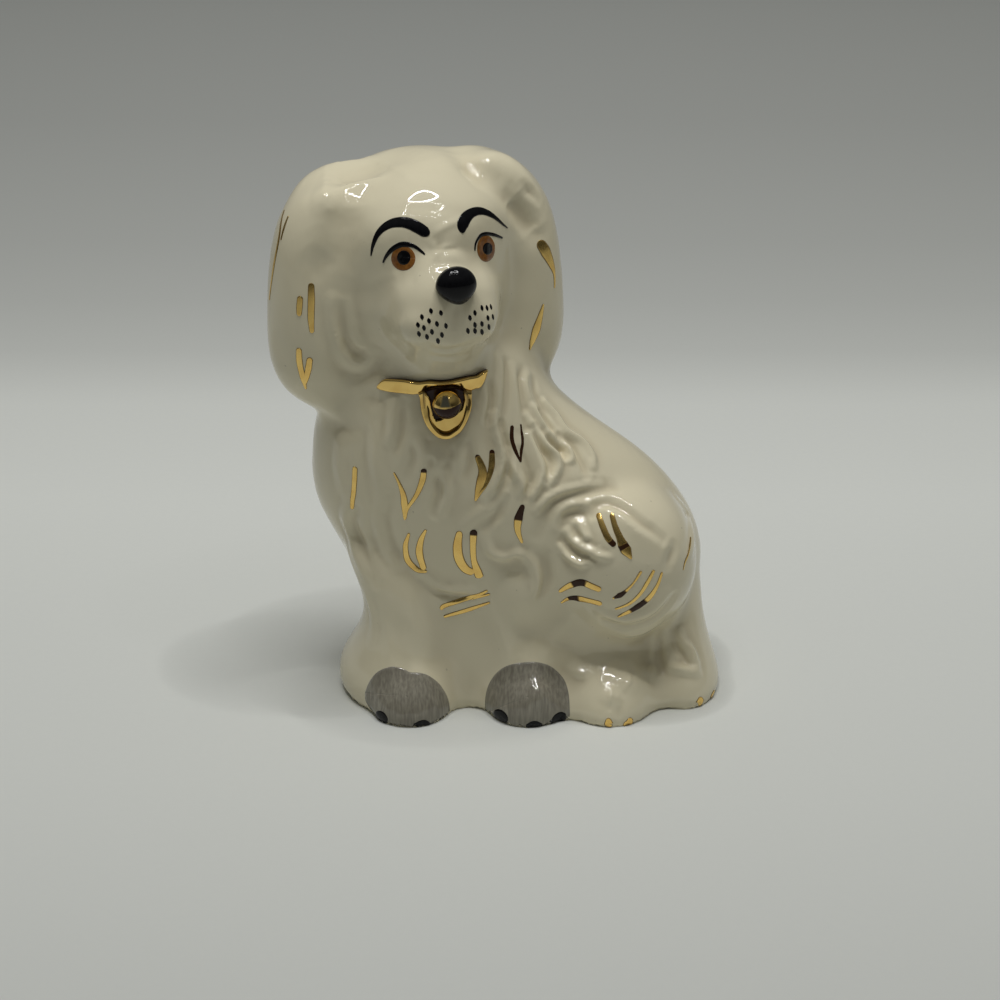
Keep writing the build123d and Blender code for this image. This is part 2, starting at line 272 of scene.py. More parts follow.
def firedGold(name):
    metal, look = golds[name], newLook(name)
    brush = look.noise(goldBrush["size"], 3.0, goldBrush["stretch"])
    pool = look.band(look.noise(goldBrush["poolSize"], 2.0), *goldBrush["poolFrom"])
    # this mask carries burnt edges, and also painted reflections and painted shade
    rim = look.band(look.attribute("rim"), *goldBrush["darkGoldFrom"])
    # the grey of a rubbed-off patch on the bell, its bare glaze painted in shade
    rubbed = look.attribute("worn")
    worn = look.mix(pool * goldBrush["poolShare"], metal["bright"], metal["deep"])
    return look.surface(
        Base_Color=look.mix(rubbed, look.mix(rim, worn, metal["burnt"]), goldBrush["rubbed"]),
        Metallic=(1.0 - rim) * (1.0 - rubbed),
        Roughness=brush * goldBrush["roughSpread"] + metal["rough"],
        Normal=look.bump(brush, goldBrush["depth"], goldBrush["bump"]),
        IOR=goldBrush["index"],
    )


looks = {
    "ivory_glaze": ivoryGlaze(),
    "grey_enamel": enamel("greyEnamel"),
    "black_enamel": enamel("blackEnamel"),
    "brown_enamel": enamel("brownEnamel"),
    "gilding": firedGold("brushedGold"),
    "castGold": firedGold("castGold"),
}
print("looks ready", len(looks))

# The glazed figure: the castings grown together, with their joints filled as slip and glaze fill them

castings = [
    "body", "head", "right_ear", "left_ear", "right_foreleg", "left_foreleg", "right_forepaw", "left_forepaw",
    "left_haunch", "right_haunch", "left_hind_foot", "right_hind_foot", "tail",
]
glazed = [name for name in castings if "forepaw" not in name]
clay = {
    "voxel": 0.58, "margin": 6,  # millimetres: the grid, and the room around the figure
    "fieldLimit": 3.0, "spareVoxels": 3,
    "fineFill": 2.2, "feetFill": 3.0, "broadFill": 7.0,  # radius that joints are filled to
    "feetTop": 17.0, "feetFade": 12.0,  # the feet's fill goes up to this height and fades over so much more
    "broadSpots": [  # radius, then pixels: beside both ears and under the chin
        (7.0, [(345, 215), (342, 260), (345, 300), (350, 345)]),
        (6.0, [(512, 225), (514, 270), (512, 320)]),
        (9.0, [(425, 362), (452, 366), (478, 356)]),
    ],
    "spotPoints": 9,
    "pawLength": 10.0, "pawWiden": 0.2,
    "pawRise": {"right_forepaw": 2.4, "left_forepaw": 0.2},  # round domes over the paws
    "soften": 10, "fineSoften": 2, "finish": 1,  # rounds
    "ground": 0.3,  # points below this height are set on the floor
    "edgeHeight": 0.6,
    "strokePoints": 28,
    "fineStroke": 1.3, "fineReach": 1.9,  # strokes under this radius get smaller faces, out to so many radii
    "ventPlace": (9.0, 6.0), "ventRadius": 3.0, "ventDepth": 9.0, "plugOverlap": 0.5, "plugTop": 3.6,
}


def ellipsoid(centre, half, rings=28, sectors=48):
    points = [centre + Vector((0, 0, half[2]))]
    for i in range(1, rings):
        a = math.pi * i / rings
        for k in range(sectors):
            t = 2 * math.pi * k / sectors
            ring = Vector((half[0] * math.cos(t), half[1] * math.sin(t), 0)) * math.sin(a)
            points.append(centre + ring + Vector((0, 0, half[2] * math.cos(a))))
    points.append(centre - Vector((0, 0, half[2])))
    last = len(points) - 1
    faces = [(0, 1 + k, 1 + (k + 1) % sectors) for k in range(sectors)]
    for i in range(rings - 2):
        for k in range(sectors):
            a, b = 1 + i * sectors + k, 1 + i * sectors + (k + 1) % sectors
            faces.append((a, a + sectors, b + sectors, b))
    base = 1 + (rings - 2) * sectors
    faces += [(last, base + (k + 1) % sectors, base + k) for k in range(sectors)]
    return [tuple(p) for p in points], faces


def triangleMesh(points, faces):
    corners = [(f[0], f[k], f[k + 1]) for f in faces for k in range(1, len(f) - 1)]
    return np.array(points, dtype=float), np.array(corners)


def castingMesh():
    shells = []
    for name in castings:
        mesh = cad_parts[name].data
        mesh.calc_loop_triangles()
        co = np.empty(len(mesh.vertices) * 3)
        mesh.vertices.foreach_get("co", co)
        corners = np.empty(len(mesh.loop_triangles) * 3, dtype=np.int32)
        mesh.loop_triangles.foreach_get("vertices", corners)
        shells.append((co.reshape(-1, 3) / mm, corners.reshape(-1, 3)))
    shells.append(ventPlug())
    shells += [pawDome(name, rise) for name, rise in clay["pawRise"].items()]
    starts = np.cumsum([0] + [len(co) for co, _ in shells])
    return np.vstack([co for co, _ in shells]), np.vstack([t + s for (_, t), s in zip(shells, starts)])


def ventPlug(sides=24):  # closes the hole in the underside while the joints are filled
    x, y = clay["ventPlace"]
    radius, top = clay["ventRadius"] + clay["plugOverlap"], clay["plugTop"]
    turns = [2 * math.pi * k / sides for k in range(sides)]
    rings = [[(x + radius * math.cos(t), y + radius * math.sin(t), z) for t in turns] for z in (0.0, top)]
    points = rings[0] + rings[1] + [(x, y, 0.0), (x, y, top)]
    faces = []
    for k in range(sides):
        a, b = k, (k + 1) % sides
        faces += [(a, b, sides + b, sides + a), (b, a, 2 * sides), (sides + a, sides + b, 2 * sides + 1)]
    return triangleMesh(points, faces)


def pawDome(name, rise):
    low, high = [Vector(corner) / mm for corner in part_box(name)]
    half = Vector(((high.x - low.x) / 2 + clay["pawWiden"], clay["pawLength"], high.z + rise))
    return triangleMesh(*ellipsoid(Vector(((low.x + high.x) / 2, low.y + half.y, 0)), half))


def levelSet(points, reach, **faces):
    return openvdb.FloatGrid.createLevelSetFromPolygons(
        points.astype(np.float32), transform=voxels,
        halfWidth=reach / clay["voxel"] + clay["spareVoxels"], **faces)


def filledField(points, triangles, radius):  # grown and shrunk again, which fills the joints only
    grown = levelSet(points, radius, triangles=triangles.astype(np.uint32))
    shell, quads = grown.convertToQuads(isovalue=radius)
    shrunk = levelSet(shell, radius, quads=quads)
    field = np.empty(fieldShape, dtype=np.float32)
    shrunk.copyToArray(field, ijk=fieldStart)
    return field + radius


voxels = openvdb.createLinearTransform(voxelSize=clay["voxel"])
boxLow = np.array(cadBox[0]) / mm - clay["margin"]
boxHigh = np.array(cadBox[1]) / mm + clay["margin"]
fieldStart = tuple(int(v) for v in np.floor(boxLow / clay["voxel"]))
fieldShape = tuple(int(v) for v in np.ceil((boxHigh - boxLow) / clay["voxel"]))
gridX, gridY, gridZ = np.ix_(*[
    (np.arange(n) + s).astype(np.float32) * clay["voxel"] for n, s in zip(fieldShape, fieldStart)
])


def grownTogether():
    points, triangles = castingMesh()
    fills = ("fineFill", "feetFill", "broadFill")
    fine, feet, broad = [filledField(points, triangles, clay[fill]) for fill in fills]
    share = np.clip((clay["feetTop"] + clay["feetFade"] - gridZ) / clay["feetFade"], 0, 1)
    share = share * share * (3 - 2 * share)
    fine = fine * (1 - share) + feet * share
    share = np.zeros(fieldShape, dtype=np.float32)
    tree = treeOf(*surfaceOf(fine))
    for radius, pixels in clay["broadSpots"]:
        for p in smoothPath([seenPoint(tree, *pixel)[0] for pixel in pixels], clay["spotPoints"]):
            far = (gridX - p.x) ** 2 + (gridY - p.y) ** 2 + (gridZ - p.z) ** 2
            np.maximum(share, np.exp(-far / radius ** 2), out=share)
    field = fine * (1 - share) + broad * share
    ventX, ventY = clay["ventPlace"]
    vent = np.maximum(np.hypot(gridX - ventX, gridY - ventY) - clay["ventRadius"], gridZ - clay["ventDepth"])
    field = np.maximum(np.maximum(field, -gridZ), -vent)  # cut flat at the floor, with the vent hole
    return outerShell(*surfaceOf(field))


def surfaceOf(field):
    limit = clay["fieldLimit"]
    grid = openvdb.FloatGrid(background=limit)
    grid.transform = voxels
    grid.gridClass = openvdb.GridClass.LEVEL_SET
    grid.copyFromArray(np.clip(field, -limit, limit), ijk=fieldStart, tolerance=0.0)
    co, quads = grid.convertToQuads(isovalue=0.0)
    return co.astype(float), splitQuads(co, quads[:, ::-1].astype(np.int64))


def splitQuads(co, quads):  # along the shorter diagonal
    p = co[quads]
    first = ((p[:, 0] - p[:, 2]) ** 2).sum(1) <= ((p[:, 1] - p[:, 3]) ** 2).sum(1)
    even, odd = quads[first], quads[~first]
    return np.vstack([even[:, [0, 1, 2]], even[:, [0, 2, 3]], odd[:, [0, 1, 3]], odd[:, [1, 2, 3]]])


def outerShell(co, triangles):
    edges = edgesOf(triangles)
    label = np.arange(len(co))
    while True:
        low = np.minimum(label[edges[:, 0]], label[edges[:, 1]])
        before = label.copy()
        np.minimum.at(label, edges[:, 0], low)
        np.minimum.at(label, edges[:, 1], low)
        label = label[label]
        if np.array_equal(before, label):
            break
    names, counts = np.unique(label, return_counts=True)
    keep = label == names[counts.argmax()]
    number = np.cumsum(keep) - 1
    return co[keep], number[triangles[keep[triangles[:, 0]]]]


def edgesOf(triangles):
    pairs = np.vstack([triangles[:, [k, (k + 1) % 3]] for k in range(3)])
    return np.unique(np.sort(pairs, axis=1), axis=0)


def refined(co, triangles, wanted):  # halves each edge between two wanted points
    edges = edgesOf(triangles)
    cut = edges[wanted[edges].all(1)]
    keys = cut[:, 0] * len(co) + cut[:, 1]

    def middleOf(p, q):
        key = np.minimum(p, q) * len(co) + np.maximum(p, q)
        place = np.clip(np.searchsorted(keys, key), 0, len(keys) - 1)
        return np.where(keys[place] == key, len(co) + place, -1)

    a, b, c = triangles.T
    ab, bc, ca = middleOf(a, b), middleOf(b, c), middleOf(c, a)
    split = (ab >= 0) & (bc >= 0) & (ca >= 0)
    parts = [triangles[(ab < 0) & (bc < 0) & (ca < 0)]]
    parts += [np.stack(t, 1)[split] for t in ((a, ab, ca), (ab, b, bc), (ca, bc, c), (ab, bc, ca))]
    for middle, p, q, r in ((ab, a, b, c), (bc, b, c, a), (ca, c, a, b)):
        single = (middle >= 0) & ~split
        parts += [np.stack((p, middle, r), 1)[single], np.stack((middle, q, r), 1)[single]]
    return np.vstack([co, (co[cut[:, 0]] + co[cut[:, 1]]) / 2]), np.vstack(parts)


def neighbourMean(values, edges):
    count = np.bincount(edges.ravel(), minlength=len(values))[:, None]
    total = np.zeros_like(values)
    for axis in range(values.shape[1]):
        total[:, axis] += np.bincount(edges[:, 0], values[edges[:, 1], axis], len(values))
        total[:, axis] += np.bincount(edges[:, 1], values[edges[:, 0], axis], len(values))
    return total / np.maximum(count, 1)


def normalsOf(co, triangles):
    a, b, c = [co[triangles[:, k]] for k in range(3)]
    face = np.cross(b - a, c - a)
    total = np.zeros_like(co)
    for axis in range(3):
        for k in range(3):
            total[:, axis] += np.bincount(triangles[:, k], face[:, axis], len(co))
    return total / np.maximum(np.linalg.norm(total, axis=1, keepdims=True), 1e-12)


def soften(co, edges, rounds, weight=0.5):
    ground = co[:, 2] < clay["ground"]
    for _ in range(rounds):
        move = weight * (neighbourMean(co, edges) - co)
        move[ground, 2] = 0.0
        co = co + move
    co[ground, 2] = 0.0
    co[:, 2] = np.maximum(co[:, 2], 0.0)
    return co


def treeOf(co, triangles):
    return BVHTree.FromPolygons(co.tolist(), triangles.tolist())


def seenPoint(tree, px, py):
    start, along = eyePoint / mm, pixelRay(px, py)
    hit, normal, _, _ = tree.ray_cast(start, along)
    if hit is None:  # just past the edge: the surface beside the spot close to the floor
        hit, normal, _, _ = tree.find_nearest(start + along * ((clay["edgeHeight"] - start.z) / along.z))
    return hit, normal


def smoothPath(points, count):
    ends = [points[0] * 2 - points[1], *points, points[-1] * 2 - points[-2]]
    path = []
    for k in range(count):
        t = k / (count - 1) * (len(points) - 1)
        i = min(int(t), len(points) - 2)
        u = t - i
        a, b, c, d = ends[i:i + 4]
        square = (2 * a - 5 * b + 4 * c - d) * u * u
        cube = (3 * b - a - 3 * c + d) * u ** 3
        path.append(0.5 * (2 * b + (c - a) * u + square + cube))
    return path


def strokeGap(co, line, reach):  # points near a line, how far they are from it, and how far along it
    near = np.all((co > line.min(0) - reach) & (co < line.max(0) + reach), axis=1)
    index = np.nonzero(near)[0]
    gap = np.linalg.norm(co[index, None, :] - line[None, :, :], axis=2)
    nearest = gap.argmin(1)
    return index, gap[np.arange(len(index)), nearest], nearest / max(len(line) - 1, 1)


strokeForm = {
    "reach": 2.6,  # radii
    "start": 0.08, "taper": 0.6, "facing": 1.6,
    # power of the crest and depth of the trough: fine locks are sharper
    "fine": (1.5, 0.28), "broad": (2.0, 0.0),
    "troughPlace": 1.7, "troughWidth": 0.6,  # radii
}


def pressStroke(co, normals, line, height, radius):
    index, gap, run = strokeGap(co, line, strokeForm["reach"] * radius)
    far = gap / radius
    inset = strokeForm["start"] + (1 - 2 * strokeForm["start"]) * run
    taper = np.clip(np.sin(np.pi * inset), 0, 1) ** strokeForm["taper"]
    facing = np.clip((normals[index] @ normals[index[far.argmin()]]) * strokeForm["facing"], 0, 1)
    crest, trough = strokeForm["fine" if radius < clay["fineStroke"] else "broad"]
    beside = (far - strokeForm["troughPlace"]) / strokeForm["troughWidth"]
    swell = np.exp(-far ** crest) - trough * np.exp(-beside ** 2)
    move = np.zeros(len(co))
    move[index] = height * taper * swell * facing
    return move


# Relief seen in the photograph: height and radius in millimetres, then pixels along the stroke
relief = {
    "face": [
        (-0.5, 4.2, [(392, 262), (416, 258)]),
        (0.45, 2.4, [(400, 256), (408, 256)]),
        (-0.5, 3.8, [(478, 252), (496, 246)]),
        (0.45, 2.2, [(485, 248), (489, 247)]),
        (0.8, 3.4, [(372, 244), (388, 229), (410, 223), (440, 226), (466, 219), (488, 213), (508, 224)]),
        (0.8, 2.4, [(450, 250), (453, 266)]),
        (0.16, 0.5, [(433, 235), (446, 227), (458, 222)]),
        (0.16, 0.5, [(429, 240), (433, 248), (434, 258)]),
        (0.16, 0.5, [(436, 261), (441, 250), (450, 246)]),
        (0.6, 2.4, [(418, 262), (428, 264), (438, 264)]),
        (-0.3, 2.2, [(468, 258), (478, 272), (484, 288)]),
        (-0.45, 1.2, [(458, 303), (456, 316), (455, 332)]),
        (-0.2, 0.7, [(424, 343), (440, 350), (458, 348), (476, 341)]),
        (-0.15, 0.7, [(434, 356), (450, 358), (466, 355)]),
        (0.6, 7.0, [(440, 176), (440, 194), (440, 212)]),
        (-2.9, 6.0, [(322, 172), (348, 164), (384, 156)]),
        (0.9, 3.6, [(294, 184), (306, 175), (320, 172)]),
        (-0.9, 2.0, [(460, 152), (465, 158), (471, 166), (477, 174)]),
        (-1.0, 4.5, [(378, 280), (384, 305), (394, 330)]),
    ],
    "rightEar": [
        (-0.9, 3.0, [(346, 206), (348, 225), (346, 250), (342, 275)]),
        (-0.8, 5.0, [(296, 385), (322, 397), (346, 402)]),
        (0.7, 2.6, [(308, 200), (327, 196), (342, 201)]),
        (-0.4, 2.2, [(330, 256), (320, 266), (306, 278)]),
        (0.4, 1.7, [(336, 238), (336, 258), (334, 280), (333, 300)]),
        (0.45, 1.05, [(332, 300), (333, 322), (339, 348), (350, 363), (364, 364), (375, 354)]),
        (-0.28, 0.9, [(340, 308), (344, 330), (351, 348), (361, 355)]),
        (0.3, 0.9, [(348, 302), (350, 322), (356, 340), (367, 347)]),
        (-0.4, 1.6, [(360, 284), (356, 298), (354, 312), (358, 324)]),
        (-0.4, 1.4, [(336, 364), (346, 374), (361, 377), (376, 367), (381, 352)]),
        (-0.35, 2.2, [(276, 330), (280, 348), (292, 362)]),
        (0.35, 1.5, [(318, 399), (330, 411), (344, 419)]),
        (-0.45, 1.6, [(330, 424), (345, 429), (364, 427)]),
        (-0.7, 1.6, [(368, 396), (378, 401)]),
    ],
    "leftEar": [
        (0.6, 2.6, [(486, 157), (502, 158), (518, 170), (532, 190)]),
        (-0.4, 1.6, [(466, 157), (471, 168), (478, 180)]),
        (-0.35, 0.8, [(524, 186), (530, 192), (537, 199)]),
        (0.35, 1.2, [(507, 188), (522, 200), (540, 222)]),
        (-1.5, 2.2, [(512, 199), (519, 207), (527, 220), (533, 232)]),
        (-0.45, 1.8, [(512, 240), (516, 270), (515, 300), (510, 340)]),
        (-0.6, 1.6, [(540, 345), (547, 360), (549, 372)]),
        (0.45, 0.65, [(483, 384), (484, 400), (481, 420)]),
        (0.36, 0.65, [(498, 356), (500, 370), (498, 398), (494, 424)]),
        (0.36, 0.65, [(513, 366), (514, 378), (516, 400), (518, 426)]),
        (0.4, 0.65, [(528, 372), (526, 384), (531, 402), (540, 424)]),
        (-0.45, 0.6, [(490, 382), (492, 400), (488, 422)]),
        (-0.4, 0.6, [(506, 360), (507, 376), (506, 400), (503, 426)]),
        (-0.34, 0.6, [(521, 368), (520, 380), (523, 402), (528, 428)]),
        (-0.4, 0.6, [(534, 380), (536, 392), (545, 412), (552, 428)]),
    ],
    "chest": [
        (0.75, 0.65, [(527, 415), (536, 430), (545, 444), (555, 453), (559, 467), (548, 486)]),
        (0.7, 0.65, [(533, 408), (543, 423), (556, 438), (568, 448), (571, 460)]),
        (0.7, 0.65, [(545, 402), (556, 415), (566, 430), (582, 441), (592, 455), (594, 466)]),
        (0.75, 0.65, [(529, 435), (536, 453), (542, 470), (540, 483), (531, 496)]),
        (0.7, 0.65, [(507, 452), (514, 470), (521, 483), (520, 494)]),
        (0.7, 0.65, [(494, 415), (495, 430), (500, 445), (502, 465), (495, 482), (485, 498)]),
        (0.6, 0.7, [(537, 510), (552, 496), (577, 488), (600, 485)]),
        (-0.7, 0.6, [(534, 428), (541, 445), (549, 460), (550, 472)]),
        (-0.7, 0.6, [(540, 412), (550, 428), (561, 442), (565, 456)]),
        (-0.9, 0.8, [(551, 441), (560, 447), (566, 453)]),
        (-0.7, 0.7, [(560, 437), (574, 447), (582, 462), (586, 474)]),
        (0.64, 0.85, [(446, 474), (447, 492), (443, 512)]),
        (0.50, 0.85, [(488, 505), (476, 515), (466, 526)]),
        (0.69, 0.75, [(484, 536), (491, 551), (505, 557), (519, 552)]),
        (0.69, 0.75, [(517, 552), (530, 560), (536, 576), (537, 594)]),
        (0.50, 0.8, [(418, 572), (438, 588), (470, 590)]),
        (0.50, 0.85, [(459, 440), (461, 454), (457, 466)]),
        (0.50, 0.85, [(431, 450), (438, 461), (436, 474)]),
        (0.51, 1.0, [(349, 500), (346, 521), (353, 542), (365, 574)]),
        (0.50, 0.85, [(394, 402), (392, 425), (389, 442)]),
        (0.50, 0.85, [(418, 440), (424, 456), (421, 470)]),
        (0.40, 1.2, [(376, 432), (376, 458), (384, 484)]),
        (0.40, 1.2, [(342, 440), (340, 466), (344, 490)]),
        (0.40, 1.0, [(378, 520), (384, 545), (396, 566)]),
        (0.35, 1.0, [(366, 596), (372, 616), (370, 640)]),
        (-0.6, 0.65, [(501, 424), (506, 442), (509, 464), (503, 486), (492, 504)]),
        (-0.6, 0.65, [(521, 450), (528, 468), (531, 484), (526, 498)]),
        (-0.6, 0.75, [(505, 500), (498, 514), (488, 526)]),
        (-0.50, 0.8, [(438, 476), (440, 493), (434, 514)]),
        (-0.51, 1.4, [(499, 566), (508, 568), (518, 566)]),
        (-0.50, 0.8, [(424, 581), (446, 595), (472, 597)]),
        (-0.56, 0.85, [(545, 556), (548, 578), (544, 596)]),
        (-0.40, 1.0, [(357, 510), (356, 530), (364, 552), (376, 582)]),
        (-0.50, 0.85, [(403, 404), (402, 428), (398, 448)]),
        (-0.40, 1.2, [(365, 436), (364, 468), (370, 500)]),
        (-0.50, 0.9, [(468, 446), (470, 462), (466, 478)]),
        (-0.35, 1.2, [(392, 500), (388, 524), (396, 548)]),
        (-0.35, 1.0, [(412, 446), (411, 462), (405, 478)]),
    ],
    "haunch": [
        (-0.5, 1.1, [(539, 534), (545, 516), (556, 502), (574, 493), (592, 489), (612, 487)]),
        (0.22, 1.0, [(557, 527), (561, 513), (569, 506), (582, 503), (600, 498), (616, 497), (634, 504),
         (650, 518)]),
        (-0.55, 0.9, [(562, 522), (568, 515), (578, 513), (587, 516)]),
        (-0.5, 0.8, [(595, 513), (597, 506), (606, 503), (617, 507), (630, 515), (641, 524), (652, 531),
         (663, 539)]),
        (0.35, 1.3, [(612, 512), (632, 526), (650, 544)]),
        (0.8, 0.6, [(567, 531), (572, 539), (580, 545), (590, 550.5), (599, 555.5), (609, 558)]),
        (0.8, 0.6, [(560, 547), (565.5, 554), (572.5, 559.5), (580.5, 564), (589, 562)]),
        (0.6, 0.6, [(579, 522), (583, 531), (586, 537), (582, 538.5)]),
        (-0.3, 0.6, [(563, 540), (574, 551), (588, 558)]),
        (-0.45, 0.9, [(673.5, 547), (670.5, 557), (667, 566)]),
        (0.4, 1.0, [(678, 500), (688, 516), (692, 535), (689, 556)]),
        (0.5, 0.8, [(600, 612), (625, 619), (650, 611), (667, 592)]),
        (-0.5, 0.8, [(604, 622), (630, 627), (655, 618), (674, 596)]),
        (0.35, 0.8, [(612, 632), (636, 634), (658, 624)]),
        (-0.5, 1.4, [(545, 640), (560, 649), (578, 653)]),
        (-0.5, 1.8, [(588, 660), (610, 660), (628, 650), (645, 638), (664, 624)]),
    ],
    "tail": [
        (0.2, 0.7, [(655, 634), (652, 650), (653, 668)]),
        (-0.2, 0.7, [(661, 632), (659, 652), (660, 672)]),
        (0.2, 0.7, [(667, 630), (667, 650), (668, 666)]),
        (0.95, 0.8, [(680, 632), (683, 642), (690, 650), (696, 664)]),
        (0.8, 0.75, [(671, 668), (684, 670), (698, 672)]),
        (-0.5, 1.2, [(676, 646), (682, 656), (686, 664)]),
    ],
    "feet": [
        (-0.3, 1.3, [(405, 666), (404, 676), (404, 690)]),
        (-2.8, 6.0, [(502, 646), (530, 640), (556, 646)]),
        (-1.0, 6.0, [(386, 640), (416, 636)]),
        (1.2, 2.6, [(528, 692), (545, 692)]),
        (0.55, 1.2, [(608, 695), (614, 696)]),
        (0.55, 1.2, [(626, 681), (631, 684)]),
        (0.55, 1.1, [(648, 673), (655, 674)]),
        (0.5, 0.9, [(574, 671), (580, 673), (586, 672)]),
        (-0.3, 0.9, [(619, 706), (619, 728)]),
    ],
}

# Wavy locks on the sides that the photograph doesn't show: rows of strokes seen square from each side
locks = {
    "rear": {"across": (-22.0, 26.0), "down": (57.0, 16.0), "columns": 8, "rows": 4},
    "nape": {"across": (-29.0, 3.0), "down": (86.0, 60.0), "columns": 7, "rows": 2},
    "breast": {"across": (4.0, 16.0), "down": (56.0, 18.0), "columns": 3, "rows": 4},
    "rump": {"across": (5.0, 18.0), "down": (46.0, 12.0), "columns": 3, "rows": 3},
}
lockLook = {
    "height": 0.32, "radius": 1.35, "overlap": 1.15,
    "wave": ((0.0, 0.0), (0.33, 1.0), (0.67, -0.4), (1.0, 0.7)),  # share of the length, then of the sway
    "sway": 1.8, "shift": 0.25, "stray": 0.12, "stagger": 0.3,
    "strayTurns": (12.9, 78.2), "staggerTurns": (39.3, 11.1),  # far from even, so that no rows show
    "longest": 1.2,  # a stroke with a longer jump than this share of its length is left out
    "from": 150,  # millimetres, well outside the figure
}
lockRays = {  # where a stroke is seen from, and along which way
    "rear": lambda u, v: (Vector((u, lockLook["from"], v)), Vector((0, -1, 0))),
    "nape": lambda u, v: (Vector((u, lockLook["from"], v)), Vector((0, -1, 0))),
    "breast": lambda u, v: (Vector((-lockLook["from"], u, v)), Vector((1, 0, 0))),
    "rump": lambda u, v: (Vector((lockLook["from"], u, v)), Vector((-1, 0, 0))),
}


def uneven(turns, half, row):
    return math.sin(turns[0] * half + turns[1] * row)


def lockStrokes(tree):
    strokes = []
    for place, patch in locks.items():
        (left, right), (top, bottom) = patch["across"], patch["down"]
        step, length = (right - left) / patch["columns"], (top - bottom) / patch["rows"]
        for row in range(patch["rows"]):
            for half in range(2 * patch["columns"]):
                stray = uneven(lockLook["strayTurns"], half, row)
                u = left + (half / 2 + lockLook["shift"] * (row % 2) + lockLook["stray"] * stray) * step
                start = row + lockLook["stagger"] * uneven(lockLook["staggerTurns"], half, row)
                points = []
                for t, sway in lockLook["wave"]:
                    down = top - (start + t * lockLook["overlap"]) * length
                    hit = tree.ray_cast(*lockRays[place](u + sway * lockLook["sway"] * stray, down))[0]
                    if hit is not None:
                        points.append(hit)
                if len(points) < len(lockLook["wave"]):
                    continue
                if max((b - a).length for a, b in zip(points, points[1:])) < lockLook["longest"] * length:
                    strokes.append((lockLook["height"] * (1 if half % 2 else -1), lockLook["radius"], points))
    return strokes


def mouldedFigure():
    co, triangles = grownTogether()
    co = soften(co, edgesOf(triangles), clay["soften"])
    print("castings grown together", len(triangles))
    tree = treeOf(co, triangles)
    strokes = lockStrokes(tree)
    for marks in relief.values():
        for height, radius, pixels in marks:
            strokes.append((height, radius, [seenPoint(tree, *pixel)[0] for pixel in pixels]))
    strokes = [(h, r, np.array(smoothPath(points, clay["strokePoints"]))) for h, r, points in strokes]
    wanted = np.zeros(len(co), dtype=bool)
    for _, radius, line in strokes:
        if radius < clay["fineStroke"]:
            index, gap, _ = strokeGap(co, line, clay["fineReach"] * radius)
            wanted[index[gap < clay["fineReach"] * radius]] = True
    co, triangles = refined(co, triangles, wanted)
    edges = edgesOf(triangles)
    co = soften(co, edges, clay["fineSoften"])
    normals = normalsOf(co, triangles)
    move = sum(pressStroke(co, normals, line, height, radius) for height, radius, line in strokes)
    co = soften(co + normals * move[:, None], edges, clay["finish"])
    print("moulded", len(strokes), "strokes")
    return co, triangles, edges


def addPiece(name, co, faces, slotName, nodes, lookName=None):
    mesh = bpy.data.meshes.new(name)
    mesh.from_pydata((np.asarray(co) * mm).tolist(), [], [tuple(face) for face in faces])
    mesh.polygons.foreach_set("use_smooth", [True] * len(mesh.polygons))
    mesh.materials.append(looks[lookName or slotName])
    piece = bpy.data.objects.new(name, mesh)
    scene.collection.objects.link(piece)
    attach(piece, "root")
    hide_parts(*nodes)
    return piece


def setValues(piece, name, values):
    layer = piece.data.attributes.new(name, "FLOAT", "POINT")
    layer.data.foreach_set("value", np.asarray(values, dtype=np.float32))


# how strongly hollows darken: glaze pooling, and painted shade
poolAndShade = {"rounds": 8, "share": 0.7, "full": 0.14, "leastSpan": 0.1}


def hollowness(co, triangles, edges):  # how far the glaze pools and how deep the painted shade in hollows is, from the curvature
    normals = normalsOf(co, triangles)
    span = np.linalg.norm(co[edges[:, 0]] - co[edges[:, 1]], axis=1)
    total = np.bincount(edges.ravel(), np.repeat(span, 2), len(co))
    spread = total / np.maximum(np.bincount(edges.ravel(), minlength=len(co)), 1)
    dip = ((neighbourMean(co, edges) - co) * normals).sum(1)
    value = (dip / np.maximum(spread, poolAndShade["leastSpan"]) ** 2)[:, None]
    for _ in range(poolAndShade["rounds"]):
        value = (1 - poolAndShade["share"]) * value + poolAndShade["share"] * neighbourMean(value, edges)
    return np.clip(value[:, 0] / poolAndShade["full"], 0, 1)


figureCo, figureFaces, figureEdges = mouldedFigure()
figure = addPiece("glazedFigure", figureCo, figureFaces.tolist(), "ivory_glaze", glazed)
setValues(figure, "hollow", hollowness(figureCo, figureFaces, figureEdges))
figureTree = treeOf(figureCo, figureFaces)
print("glazed figure", len(figureFaces))

# Films of enamel and gold, laid on the glaze


film = {
    "across": (-1.0, -0.82, -0.5, 0.0, 0.5, 0.82, 1.0),  # places across a stroke
    "sink": 0.25, "finePoints": 8, "evening": 3,
    "leastHalf": 0.05, "endHalf": 0.02,
    "edge": 0.3, "reflectionFade": 0.10,
    "heart": 0.002, "edgeFall": 0.75,  # smallest ring of a patch, and how far its edge falls
}


